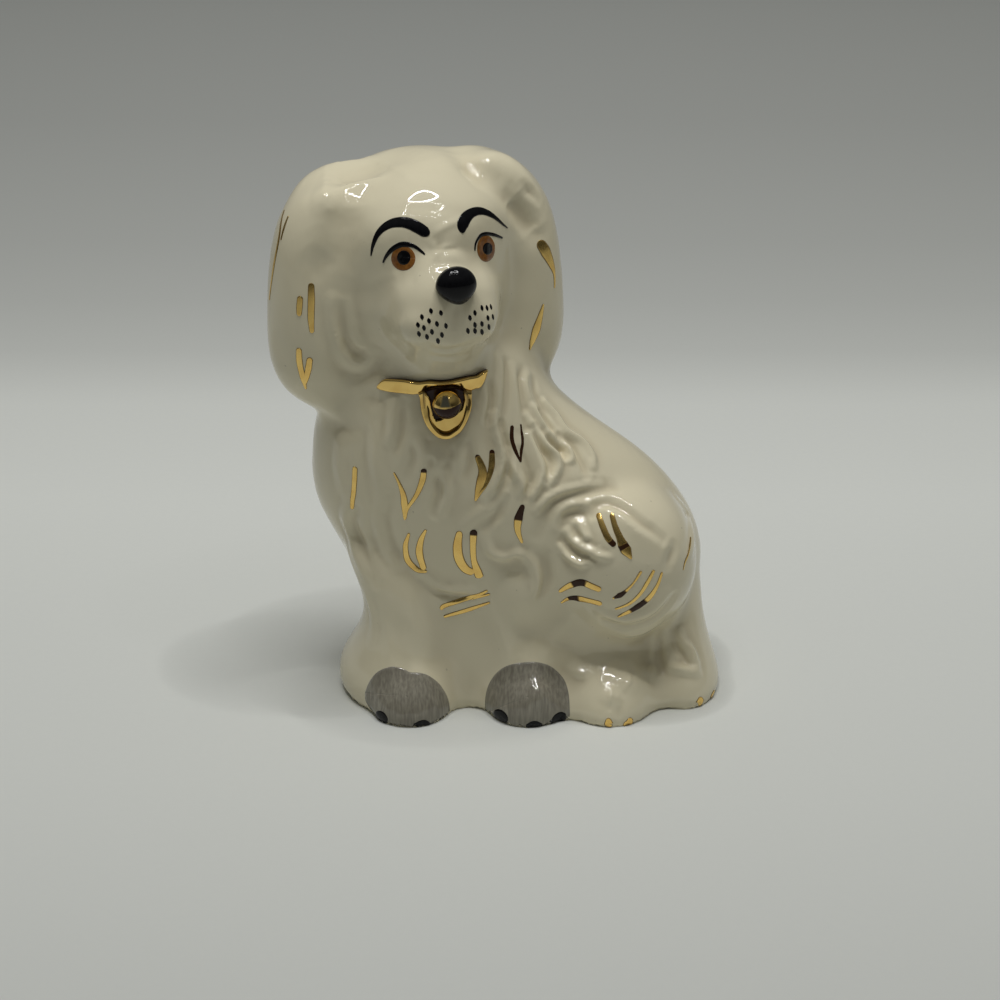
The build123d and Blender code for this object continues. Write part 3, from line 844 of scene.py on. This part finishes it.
def closedSheet(rows, lift, sink=film["sink"]):
    # rows of (point, outward, rim) become a film with an upper face, a sunk lower face and edge walls
    high, wide = len(rows), len(rows[0])
    upper = [p + n * h for row, heights in zip(rows, lift) for (p, n, _), h in zip(row, heights)]
    lower = [p - n * sink for row in rows for p, n, _ in row]
    rim = [r for row in rows for _, _, r in row]
    count = high * wide
    faces = []
    for i in range(high - 1):
        for j in range(wide - 1):
            a, b, c, d = i * wide + j, i * wide + j + 1, (i + 1) * wide + j + 1, (i + 1) * wide + j
            faces += [(a, b, c, d), (a + count, d + count, c + count, b + count)]
    ring = [*range(wide), *range(2 * wide - 1, count, wide)]
    ring += [*range(count - 2, count - wide - 1, -1), *range(count - 2 * wide, 0, -wide)]
    for here, there in zip(ring, [*ring[1:], ring[0]]):
        faces.append((here, here + count, there + count, there))
    return [tuple(p) for p in upper + lower], faces, rim + rim


def easedRuns(steps):  # places along a stroke, closer together at its ends
    return [0.5 - 0.5 * math.cos(math.pi * k / (steps - 1)) for k in range(steps)]


def evened(outs, rounds):  # outward ways, each averaged with its neighbours
    for _ in range(rounds):
        around = zip([outs[0], *outs], outs, [*outs[1:], outs[-1]])
        outs = [(before + out + after).normalized() for before, out, after in around]
    return outs


def unit(value):
    return min(max(value, 0), 1)


def drapedRows(pixels, widths, steps):
    points = [seenPoint(figureTree, *pixel)[0] for pixel in pixels]
    fine = smoothPath(points, film["finePoints"] * steps)
    runs = easedRuns(steps)
    path = [fine[round(t * (len(fine) - 1))] for t in runs]
    length = sum((b - a).length for a, b in zip(path, path[1:]))
    outs = evened([figureTree.find_nearest(p)[1] for p in path], film["evening"])
    rows = []
    for k, (p, n, t) in enumerate(zip(path, outs, runs)):
        ahead = (path[min(k + 1, steps - 1)] - path[max(k - 1, 0)]).normalized()
        side = n.cross(ahead).normalized()
        half = np.interp(t * (len(widths) - 1), range(len(widths)), widths) / 2
        inset = min(min(t, 1 - t) * length / max(half, film["leastHalf"]), 1)
        half *= math.sqrt(max(1 - (1 - inset) ** 2, 0.0)) + film["endHalf"]  # round ends
        rows.append([(figureTree.find_nearest(p + side * (u * half))[0], n, abs(u)) for u in film["across"]])
    return rows


def brushStroke(pixels, widths, proud, steps, burnt=None):
    # the last argument is the stretch along the stroke that is painted dark: a painted reflection of dark
    # surroundings in the gold
    rows = drapedRows(pixels, widths, steps)
    edge = film["edge"]
    dome = [proud * (edge + (1 - edge) * math.sqrt(max(1 - u * u, 0))) for u in film["across"]]
    # painted reflection: this stretch is darkened where the gold mirrors dark surroundings
    if burnt:
        low, high = burnt
        dark = [unit(min(t - low, high - t) / film["reflectionFade"] + 0.5) for t in easedRuns(steps)]
        rows = [[(p, n, max(r, d)) for p, n, r in row] for row, d in zip(rows, dark)]
    return closedSheet(rows, [dome] * steps)


def insideOutline(px, py, outline):
    crossings = 0
    for (ax, ay), (bx, by) in zip(outline, [*outline[1:], *outline[:1]]):
        if (ay > py) != (by > py) and px < ax + (py - ay) / (by - ay) * (bx - ax):
            crossings += 1
    return crossings % 2


def outlinePatch(outline, proud=0.08, rings=14, sectors=72, edgeFrom=0.8, lean=None, pit=(), pitDepth=0.0):
    # lean is the extra lift at the top of a moulded patch, whose points then all rise the same way;
    # the hollow's outline marks a hollow in it, sunk and painted dark gold as shade
    middle = Vector((sum(p[0] for p in outline) / len(outline), sum(p[1] for p in outline) / len(outline), 0))
    tall = max(abs(p[1] - middle.y) for p in outline)
    loop = smoothPath([Vector((*p, 0)) for p in [*outline, outline[0]]], sectors + 1)
    rows, lift = [], []
    for i in range(rings + 1):
        s = film["heart"] + (1 - film["heart"]) * i / rings
        spots = [middle + (loop[k % sectors] - middle) * s for k in range(sectors + 1)]
        # inside the hollow's outline the patch sinks and is painted dark gold as shade
        shadedPits = [insideOutline(spot.x, spot.y, pit) for spot in spots]
        row = [(*seenPoint(figureTree, spot.x, spot.y), max(s, dark)) for spot, dark in zip(spots, shadedPits)]
        edge = 1 - film["edgeFall"] * max(s - edgeFrom, 0) / (1 - edgeFrom)
        rows.append(row)
        rise = [proud + (lean or 0) * (middle.y - spot.y) / tall for spot in spots]
        lift.append([h * edge - pitDepth * dark for h, dark in zip(rise, shadedPits)])
    if lean is not None:
        out = sum((n for row in rows for _, n, _ in row), Vector()).normalized()
        rows = [[(p, out, r) for p, _, r in row] for row in rows]
    return closedSheet(rows, lift)


def ellipseOutline(px, py, halfWidth, halfHeight, turn=0.0, count=20):
    c, s = math.cos(math.radians(turn)), math.sin(math.radians(turn))
    outline = []
    for k in range(count):
        a, b = halfWidth * math.cos(2 * math.pi * k / count), halfHeight * math.sin(2 * math.pi * k / count)
        outline.append((px + a * c - b * s, py + a * s + b * c))
    return outline


def joined(sheets):
    points, faces, rim = [], [], []
    for co, polygons, values in sheets:
        faces += [tuple(i + len(points) for i in face) for face in polygons]
        points += co
        rim += values
    return points, faces, rim


def addFilm(node, slotName, sheets, lookName=None):
    points, faces, rim = joined(sheets)
    first, *rest = node.split("_")
    name = first + "".join(word.capitalize() for word in rest)
    piece = addPiece(name, points, faces, slotName, [node], lookName)
    setValues(piece, "rim", rim)
    return piece


# Painted face: pixels along each mark, then its widths in millimetres
faceMarks = {
    "right_brow": (
        [(371, 256), (373, 245), (378, 233.5), (386, 226), (395, 222.5), (406, 222.5), (416.5, 226.7),
         (425, 232), (429.5, 234.5)],
        (0.2, 0.6, 0.9, 1.2, 1.45, 1.65, 1.75, 1.6, 0.7)),
    "left_brow": (
        [(462.4, 233), (462.6, 225), (466, 218), (472, 212.7), (480, 210.8), (488.4, 213.2),
         (496.6, 218.6), (503, 224.3), (507.5, 228)],
        (0.9, 2.0, 1.8, 1.4, 1.2, 0.95, 0.65, 0.4, 0.15)),
    "right_eyelid": (
        [(383, 262.8), (385.7, 257), (391.6, 249.8), (400, 245.1), (406, 244.4), (414, 246.2), (421, 251),
         (425, 254.5)],
        (0.25, 0.45, 0.7, 0.85, 0.8, 0.55, 0.4, 0.25)),
    "left_eyelid": (
        [(474.7, 251), (476, 242.7), (480, 236.1), (486, 233.7), (494.3, 234.9), (502.5, 238)],
        (0.25, 0.4, 0.55, 0.55, 0.5, 0.3)),
}
eyes = {
    "right": {"iris": (403.3, 258.4, 12.1, 12.2), "pupil": (404, 257.6, 7.5, 8.0)},
    "left": {"iris": (486, 248.6, 9.0, 13.2), "pupil": (487.2, 248.6, 5.4, 6.6)},
}
whiskerDots = [
    (431, 311), (441, 313), (422, 317), (429, 321), (437, 324), (446, 326), (418, 325), (424, 328),
    (432, 332), (442, 335), (419, 334), (427, 337), (438, 341), (482, 308), (487, 308), (491, 307),
    (475, 313), (470, 318), (488, 318), (493, 317), (482, 324), (475, 325), (489, 327), (468, 331),
    (475, 331), (482, 332),
]
dotForm = {"path": ((-0.8, -2.9), (0, 0), (0.6, 2.7)), "widths": (0.3, 0.62, 0.3)}
for name, (pixels, widths) in faceMarks.items():
    addFilm(name, "black_enamel", [brushStroke(pixels, widths, proud=0.1, steps=44)])
for side, marks in eyes.items():
    addFilm(side + "_iris", "brown_enamel", [outlinePatch(ellipseOutline(*marks["iris"]), proud=0.09)])
    addFilm(side + "_pupil", "black_enamel", [outlinePatch(ellipseOutline(*marks["pupil"]), proud=0.15)])
dots = []
for x, y in whiskerDots:
    pixels = [(x + right, y + down) for right, down in dotForm["path"]]
    dots.append(brushStroke(pixels, dotForm["widths"], proud=0.07, steps=8))
addFilm("whisker_dots", "black_enamel", dots)
print("face painted")

# Gold brush marks: widths in millimetres along the stroke, pixels, and the stretch painted dark as a
# reflection, where there is one
gilding = {
    "chest_gilding": [
        ((0.9, 1.0, 0.95, 0.6), [(355, 466.5), (354.2, 486), (352, 509)]),
        ((0.3, 0.5, 0.9, 1.2, 0.3), [(393.8, 472.3), (400.4, 486.3), (404.1, 499.5), (404.8, 520)]),
        ((0.9, 1.0, 0.7, 0.5, 0.3),
         [(424, 468.7), (422.4, 480.4), (416.5, 495), (407.7, 508.3), (405.5, 518.5)], (-0.1, 0.12)),
        ((0.8, 1.2, 1.6, 1.2, 0.3),
         [(476.7, 454.7), (482.6, 471.6), (479.6, 487.7), (475.2, 501)], (-0.2, 0.08)),
        ((0.8, 1.0, 0.85, 0.6, 0.3),
         [(492, 449.6), (491.4, 467.2), (486.2, 483.3), (476.7, 498)], (-0.2, 0.12)),
        ((0.6, 0.65, 0.6, 0.3), [(512, 425.4), (512, 439.3), (516.3, 452.5), (520.7, 462)], (-0.1, 1.1)),
        ((0.3, 0.45, 0.5, 0.3), [(520.7, 424), (522.5, 439.3), (521, 452.5), (520.8, 462)], (-0.1, 1.1)),
        ((0.4, 0.95, 1.15, 0.95, 0.5),
         [(409.2, 533), (405.5, 546.4), (407.7, 559.6), (416.5, 569.2), (427, 571.5)]),
        ((0.4, 0.95, 1.3, 1.1), [(426, 529.6), (421, 540.6), (419.5, 553.8), (424, 570)]),
        ((1.0, 1.45, 1.65, 1.6, 1.3), [(459.8, 531), (457.6, 545), (459, 558.2), (465, 568.4), (474, 573)]),
        ((1.25, 1.0, 0.95, 1.4, 1.4),
         [(473.8, 529.6), (473, 545), (473.8, 559.6), (477.4, 571), (480, 578)], (-0.1, 0.13)),
        ((0.7, 1.35, 1.0, 0.4), [(523, 504.6), (518.5, 518.5), (517.8, 530.3), (522.2, 543)], (-0.1, 0.42)),
        ((0.5, 0.8, 0.75, 0.7, 0.4),
         [(440.8, 609.5), (444.4, 605.8), (462, 600), (476.7, 595.6), (487.7, 590.4)]),
        ((0.3, 0.5, 0.4), [(472, 599), (480, 596.5), (490, 594)]),
        ((0.5, 0.7, 0.75, 0.4), [(443.7, 616.8), (456.2, 613.2), (470.8, 608.8), (490, 602.2)]),
    ],
    "haunch_gilding": [
        ((0.8, 0.95, 1.0, 0.9), [(598, 513), (602.5, 526), (608, 538), (615, 546)], (0.74, 1.2)),
        ((0.75, 0.9, 1.1, 1.6, 1.7, 0.3),
         [(611.5, 513), (615, 526), (620, 538), (623, 545), (626.5, 551), (631.5, 559)], (0.55, 0.77)),
        ((0.6, 1.0, 1.2, 1.15, 1.0),
         [(559, 592), (570, 585.5), (581.5, 582.5), (592, 586.5), (601, 590)], (0.26, 0.64)),
        ((0.3, 0.7, 1.2, 1.0, 1.0),
         [(561, 603), (569, 598.5), (578, 598.5), (590, 601), (602, 604)], (0.2, 0.56)),
        ((0.5, 0.35, 0.5, 0.95, 0.2),
         [(641.4, 571), (634, 582.5), (626.5, 590.5), (619.5, 595.5), (612.5, 598.5)], (0.48, 0.98)),
        ((0.5, 0.7, 0.6, 0.55, 0.4), [(654, 570), (647.5, 582.5), (640, 594), (629.5, 603.5), (615, 609)]),
        ((0.4, 0.6, 1.0, 1.15, 0.7, 0.3),
         [(662, 572), (657.5, 585), (649.5, 597.5), (638, 606.5), (627, 612.5), (617.5, 617)], (0.42, 0.78)),
        ((0.3, 0.45, 0.4, 0.2), [(690.5, 537), (689.5, 547), (685.5, 560.7), (683, 570)]),
    ],
    "right_ear_gilding": [
        ((0.4, 0.6, 0.6, 0.3), [(284.5, 210), (279, 238), (273.5, 268), (269.5, 300)]),
        ((0.3, 0.5, 0.3), [(288.5, 216), (284, 228), (281, 240)]),
        ((0.9, 1.0, 0.8), [(300.3, 296), (299.5, 306), (299, 316)]),
        ((0.9, 1.1, 1.05, 0.7), [(311.2, 283), (311.3, 300), (311, 318), (312, 333)]),
        ((0.9, 1.1, 0.95, 0.3), [(299, 348), (299.5, 362), (303, 378), (306, 389)]),
        ((0.9, 1.05, 0.8, 0.3), [(310, 357.5), (308.5, 368), (306.5, 378), (304.5, 386)]),
    ],
    "left_ear_gilding": [
        ((1.5, 1.9, 1.3, 0.6, 0.3), [(538.5, 241), (546, 252), (551.5, 264), (554.3, 274), (554.5, 288)]),
        ((0.3, 0.9, 1.45, 1.1, 0.3), [(543.4, 304), (539, 320.6), (533.5, 338), (529.5, 350)]),
    ],
    "tail_gilding": [
        ((1.3, 1.7, 1.5), [(699.5, 697), (700, 702), (700.5, 707)]),
        ((0.9, 1.2, 1.0), [(713.5, 690.5), (714.5, 694.5), (715, 698)]),
    ],
    "hind_claws": [
        ((1.1, 1.5, 1.5), [(608.3, 718), (608.8, 724), (609.3, 730)]),
        ((1.1, 1.6, 1.6), [(629, 718), (629, 724), (628.8, 729.5)]),
    ],
}
giltFilm = {"proud": 0.09, "layer": 0.012, "layers": 3, "steps": 40}  # strokes that cross lie in layers
for name, strokes in gilding.items():
    sheets = []
    for k, (widths, pixels, *burnt) in enumerate(strokes):
        proud = giltFilm["proud"] + giltFilm["layer"] * (k % giltFilm["layers"])
        sheets.append(brushStroke(pixels, widths, proud, giltFilm["steps"], *burnt))
    addFilm(name, "gilding", sheets)
print("gilt", len(gilding))

# Grey paws with black claws: outlines in pixels
paws = {
    "right_forepaw": [
        (365, 693), (367.6, 685.5), (372, 677.8), (378.3, 671.4), (387.2, 667.6), (394.8, 666.6),
        (403.8, 669), (410.2, 672.2), (419, 672.7), (428, 675.3), (437, 681.6), (443.3, 689.3),
        (447.7, 698.2), (449.7, 708.4), (449, 721), (443, 729), (427, 736), (406.3, 735), (393, 731),
        (383, 724), (374, 714), (366, 702),
    ],
    "left_forepaw": [
        (485, 713), (485.4, 698.2), (487.4, 688), (491.8, 679), (498.2, 671.4), (507, 665.8), (518.6, 663),
        (531.3, 662), (541.5, 663), (550.5, 666.3), (558, 672.2), (564.5, 680.4), (568.3, 691.8),
        (569.6, 704.6), (569, 719), (560.4, 727), (549.2, 733), (536.4, 736), (523.7, 734), (512.5, 728),
        (502.3, 722), (493.3, 718),
    ],
}
claws = {
    "right_claws": [(382, 717, 8.0, 5.2, 48), (423.5, 728.5, 9.4, 9.5, 0)],
    "left_claws": [(501, 716, 9.0, 6.0, 42), (534.6, 729, 10.0, 9.0, 0), (558.6, 719, 9.2, 6.4, -42)],
}
for name, outline in paws.items():
    sheet = outlinePatch(outline, proud=0.07, rings=22, sectors=110, edgeFrom=0.9)
    addFilm(name, "grey_enamel", [sheet])
for name, shapes in claws.items():
    sheets = [outlinePatch(ellipseOutline(*shape), proud=0.14, rings=8, sectors=40) for shape in shapes]
    addFilm(name, "black_enamel", sheets)
print("paws and claws")

# Collar, locket and bell, which are moulded with the figure and gilt: edges in pixels
collarLook = {
    "strapUpper": [
        (378.2, 387.5), (384.9, 378.9), (392.9, 378.2), (406.2, 378.9), (418.8, 380.8), (430, 379.4),
        (439.8, 380), (449.6, 379.2), (458, 377.5), (466.4, 375.7), (474.8, 374.5), (480.4, 371.4),
        (486, 369),
    ],
    "strapLower": [
        (378.8, 388.6), (385, 390.8), (392.2, 392.2), (406.2, 393.6), (416, 394), (428, 390.5),
        (439.8, 389), (449.6, 388.6), (458, 389), (466.4, 391), (474.8, 388.7), (480.4, 386.6),
        (486.6, 373),
    ],
    "strapProud": 0.75, "strapLean": 0.3,
    "rimOuter": [
        (418, 391), (420, 397.5), (420.5, 404.8), (422.3, 414.6), (425.8, 423.7), (431.4, 431.4),
        (438.4, 437), (445.4, 438.7), (452.4, 437.5), (459.4, 432.8), (465, 424.4), (468.5, 416),
        (471, 406.2), (470.8, 398), (471, 389),
    ],
    "rimInner": [
        (425, 388), (426.8, 393), (429, 400), (430.5, 409), (431.5, 419), (436, 427.5), (441, 432.5),
        (446, 434), (451.5, 433), (457, 428.5), (461, 421), (463, 413), (463.6, 405), (463, 396),
        (461.5, 387),
    ],
    "rimProud": 1.0, "rimLean": 0.16,
    "plate": [
        (420.7, 389), (421.5, 404), (422.5, 413), (425, 421), (429, 428), (435, 434.5), (442, 437.5),
        (451, 437.5), (459, 432.5), (465.5, 425), (469, 416), (470, 405), (469, 391), (459, 385),
        (446, 384), (433, 385),
    ],
    "plateProud": 0.85, "plateLean": 0.95,
    "pit": [  # painted shade: dark gold, sunk between the strap, the plate and the bell
        (415, 380), (459, 380), (463, 388), (464.5, 398), (462, 408), (455, 414), (447, 415.5),
        (441, 419.5), (436, 420.5), (432.5, 414), (430.8, 405), (429, 397), (424, 390),
    ],
    "pitDepth": 0.5,
    "bell": (447.3, 401.2), "bellHalf": (2.2, 2.1, 2.22), "bellProud": 1.9, "bellOut": (0, -1, 0.1),
    "bellDark": (-0.3, 0.15, 0.35), "darkFade": 0.12,  # painted reflection of the dark front: dark gold below this curve, as seen by the camera
    "bellWorn": (-0.1, 0.2, 0.28, 0.62),  # rubbed patch, its bare glaze painted in shade: middle, narrow half width, spread and top
    "rubbedShadeFade": 0.1,
}
bandForm = {
    "across": (-1.0, -0.96, -0.88, -0.7, -0.4, 0.0, 0.4, 0.7, 0.88, 0.96, 1.0),
    "evening": 4, "sink": 0.5, "edgeRise": 0.15,
    "endRise": 0.35, "endSteps": 3, "burntSteps": 1.5, "burntPower": 3,
}


def mouldedBand(upper, lower, proud, lean, flat=0.8, steps=80):
    # flat is the share of the width that stays level, and lean lifts the upper edge
    form, across = bandForm, bandForm["across"]
    tops, bottoms = [smoothPath([Vector((*p, 0)) for p in edge], steps) for edge in (upper, lower)]
    rows = []
    for top, bottom in zip(tops, bottoms):
        spots = [bottom + (top - bottom) * (u + 1) / 2 for u in across]
        rows.append([seenPoint(figureTree, spot.x, spot.y) for spot in spots])
    outs = evened([sum((n for _, n in row), Vector()).normalized() for row in rows], form["evening"])
    edge = [math.sqrt(max(1 - (max(abs(u) - flat, 0) / (1 - flat)) ** 2, 0)) for u in across]
    lift, sheet = [], []
    for k, (row, out) in enumerate(zip(rows, outs)):
        fromEnd = min(k, steps - 1 - k)
        end = form["endRise"] + (1 - form["endRise"]) * math.sqrt(min(fromEnd / form["endSteps"], 1))
        rises = [form["edgeRise"] + (1 - form["edgeRise"]) * e * end for e in edge]
        lift.append([(proud + lean * u) * rise for u, rise in zip(across, rises)])
        burnt = [max(abs(u) ** form["burntPower"], 1 - fromEnd / form["burntSteps"]) for u in across]
        sheet.append([(p, out, dark) for (p, _), dark in zip(row, burnt)])
    return closedSheet(sheet, lift, form["sink"])


strap = mouldedBand(
    collarLook["strapUpper"], collarLook["strapLower"], collarLook["strapProud"], collarLook["strapLean"])
addFilm("collar", "gilding", [strap], "castGold")
plate = outlinePatch(
    collarLook["plate"], collarLook["plateProud"], rings=48, sectors=160, edgeFrom=0.9,
    lean=collarLook["plateLean"], pit=collarLook["pit"], pitDepth=collarLook["pitDepth"])
addFilm("locket", "gilding", [plate], "castGold")
border = mouldedBand(
    collarLook["rimInner"], collarLook["rimOuter"], collarLook["rimProud"], collarLook["rimLean"],
    flat=0.75, steps=100)
addFilm("locket_rim", "gilding", [border], "castGold")


def bellMesh():
    hit = seenPoint(figureTree, *collarLook["bell"])[0]
    middle = hit + Vector(collarLook["bellOut"]) * collarLook["bellProud"]
    points, faces = ellipsoid(middle, collarLook["bellHalf"], rings=48, sectors=72)
    # painted reflection: below a curve the bell is darkened, where it mirrors the dark front
    level, slant, curl = collarLook["bellDark"]
    # painted shade: a rubbed patch facing the camera is grey like glaze in shade
    place, narrow, spread, top = collarLook["bellWorn"]
    burnt, worn = [], []
    for p in points:
        out = (Vector(p) - middle).normalized()
        side, up = out.dot(eyeRight), out.dot(eyeUp)
        edge = level + slant * side + curl * side * side
        burnt.append(unit((edge - up) / collarLook["darkFade"] + 0.5))
        half = narrow + spread * (top - up)
        patch = min(half - abs(side - place), top - up, up - level) / collarLook["rubbedShadeFade"]
        worn.append(unit(patch) if out.dot(eyeAhead) < 0 else 0.0)
    return (points, faces, burnt), worn


bellSheet, bellWorn = bellMesh()
setValues(addFilm("bell", "gilding", [bellSheet], "castGold"), "worn", bellWorn)

# Nose: a rounded shield that narrows downward, with a thinly painted edge
noseLook = {
    "pixel": (456.2, 284.5), "half": (3.1, 2.15, 2.9), "turn": 17.5, "proud": 0.55,
    "taper": 0.28, "taperPower": 1.6, "skew": 0.4,
    "thinFrom": -0.32, "thinFade": 0.2, "thinSlant": 0.8, "thinGain": 2,
}


def noseMesh():
    hit, _ = seenPoint(figureTree, *noseLook["pixel"])
    half = noseLook["half"]
    points, faces = ellipsoid(Vector((0, 0, 0)), half, rings=40, sectors=64)
    c, s = math.cos(math.radians(noseLook["turn"])), math.sin(math.radians(noseLook["turn"]))
    placed, rim = [], []
    for x, y, z in points:
        low = max(-z / half[2], 0)
        thin = unit((y / half[1] - noseLook["thinFrom"]) / noseLook["thinFade"])
        upper = z / half[2] - noseLook["thinSlant"] * x / half[0]
        rim.append(thin * unit(upper * noseLook["thinGain"]))
        x = x * (1 - noseLook["taper"] * low ** noseLook["taperPower"]) + noseLook["skew"] * low ** 2
        placed.append((hit.x + c * x - s * y, hit.y - noseLook["proud"] + s * x + c * y, hit.z + z))
    return placed, faces, rim


addFilm("nose", "black_enamel", [noseMesh()])
print("collar, bell and nose")

# Floor and light

studio = {
    "floorHalf": 900.0, "floorLift": 1.3, "floorTint": (1.0, 1.02, 0.96), "floorRough": 0.8,
    "grain": (0.42, 0.43, 0.41), "grainSize": 1.2, "grainShare": 0.06,
    "floorLightAndShade": [  # depth in millimetres, then tone: painted light, brightest just behind the figure, and painted shade towards the camera and further back
        (-160, 0.43), (-89, 0.467), (-37, 0.52), (16, 0.554), (68, 0.602), (122, 0.588), (154, 0.486),
        (191, 0.44), (240, 0.416), (300, 0.415), (372, 0.42), (551, 0.486),
    ],
    "top": 0.13, "topFront": 0.04, "horizon": 0.055, "frontDark": 0.03, "backLight": 0.08,
    "topFrom": (0.25, 0.65), "sideFrom": (0.1, 0.8), "tint": (0.98, 1.0, 0.97),
    "rings": {  # middle, half width and depth, strip width, strips and power in watts
        "overhead": {"middle": (0, -60, 800), "half": (190, 100), "strip": 12, "count": 24, "power": 3.6},
        "front": {"middle": (0, -110, 370), "half": (110, 40), "strip": 2, "count": 20, "power": 0.09},
    },
    "aim": (0, 0, 40),
}


def makeFloor():
    half = studio["floorHalf"] * mm
    mesh = bpy.data.meshes.new("floor")
    corners = [(-half, -half, 0), (half, -half, 0), (half, half, 0), (-half, half, 0)]
    mesh.from_pydata(corners, [], [(0, 1, 2, 3)])
    floor = bpy.data.objects.new("floor", mesh)
    scene.collection.objects.link(floor)
    look = newLook("paleFloor")
    depth = look.node("ShaderNodeSeparateXYZ", {}, {0: look.position()}, out="Y")
    stops = []
    for y, tone in studio["floorLightAndShade"]:
        tone *= studio["floorLift"]
        stops.append((0.5 + y * mm / (2 * half), tuple(tone * tint for tint in studio["floorTint"])))
    # the floor's colour paints the studio's light: brightest just behind the figure, darker towards the
    # camera and further back
    sweep = look.node("ShaderNodeValToRGB", {"stops": stops}, {"Fac": depth * (0.5 / half) + 0.5})
    grain = look.noise(studio["grainSize"], 3.0) * studio["grainShare"]
    colour = look.mix(grain, sweep, studio["grain"])
    mesh.materials.append(look.surface(Base_Color=colour, Roughness=studio["floorRough"]))


def stripLight(name, start, end, aim, width, power):
    lamp = bpy.data.lights.new(name, "AREA")
    lamp.shape = "RECTANGLE"
    lamp.size, lamp.size_y = (end - start).length * mm, width * mm
    lamp.energy = power
    holder = bpy.data.objects.new(name, lamp)
    scene.collection.objects.link(holder)
    middle = (start + end) / 2
    along = (end - start).normalized()
    back = (middle - aim).normalized()
    back = (back - along * back.dot(along)).normalized()
    holder.location = middle * mm
    holder.rotation_mode = "QUATERNION"
    holder.rotation_quaternion = Matrix((along, back.cross(along), back)).transposed().to_quaternion()


def lightRing(name, ring):  # thin, so that its outline shows in the glaze
    aim, middle = Vector(studio["aim"]), Vector(ring["middle"])
    across = Vector((1, 0, 0))
    deep = (middle - aim).cross(across).normalized()
    turns = [2 * math.pi * k / ring["count"] for k in range(ring["count"] + 1)]
    wide, far = ring["half"]
    corners = [middle + across * (wide * math.cos(t)) + deep * (far * math.sin(t)) for t in turns]
    for k, (start, end) in enumerate(zip(corners, corners[1:])):
        stripLight("%sStrip%02d" % (name, k), start, end, aim, ring["strip"], ring["power"] / ring["count"])


def makeWorld():
    world = bpy.data.worlds.new("tent")
    scene.world = world
    look = Look(world)
    towards = look.node("ShaderNodeTexCoord", out="Generated")
    y, z = [look.node("ShaderNodeSeparateXYZ", {}, {0: towards}, out=axis) for axis in "YZ"]
    overhead = look.band(z, *studio["topFrom"])
    back, front = [look.band(side, *studio["sideFrom"]) for side in (y, 0 - y)]
    low = back * studio["backLight"] - front * studio["frontDark"] + studio["horizon"]
    high = studio["top"] - y * studio["topFront"]
    tone = overhead * (high - low) + low
    shade = look.node("ShaderNodeBackground", {}, {"Color": studio["tint"], "Strength": tone})
    look.node("ShaderNodeOutputWorld", {}, {"Surface": shade})


makeFloor()
makeWorld()
for name, ring in studio["rings"].items():
    lightRing(name, ring)
print("floor and light")
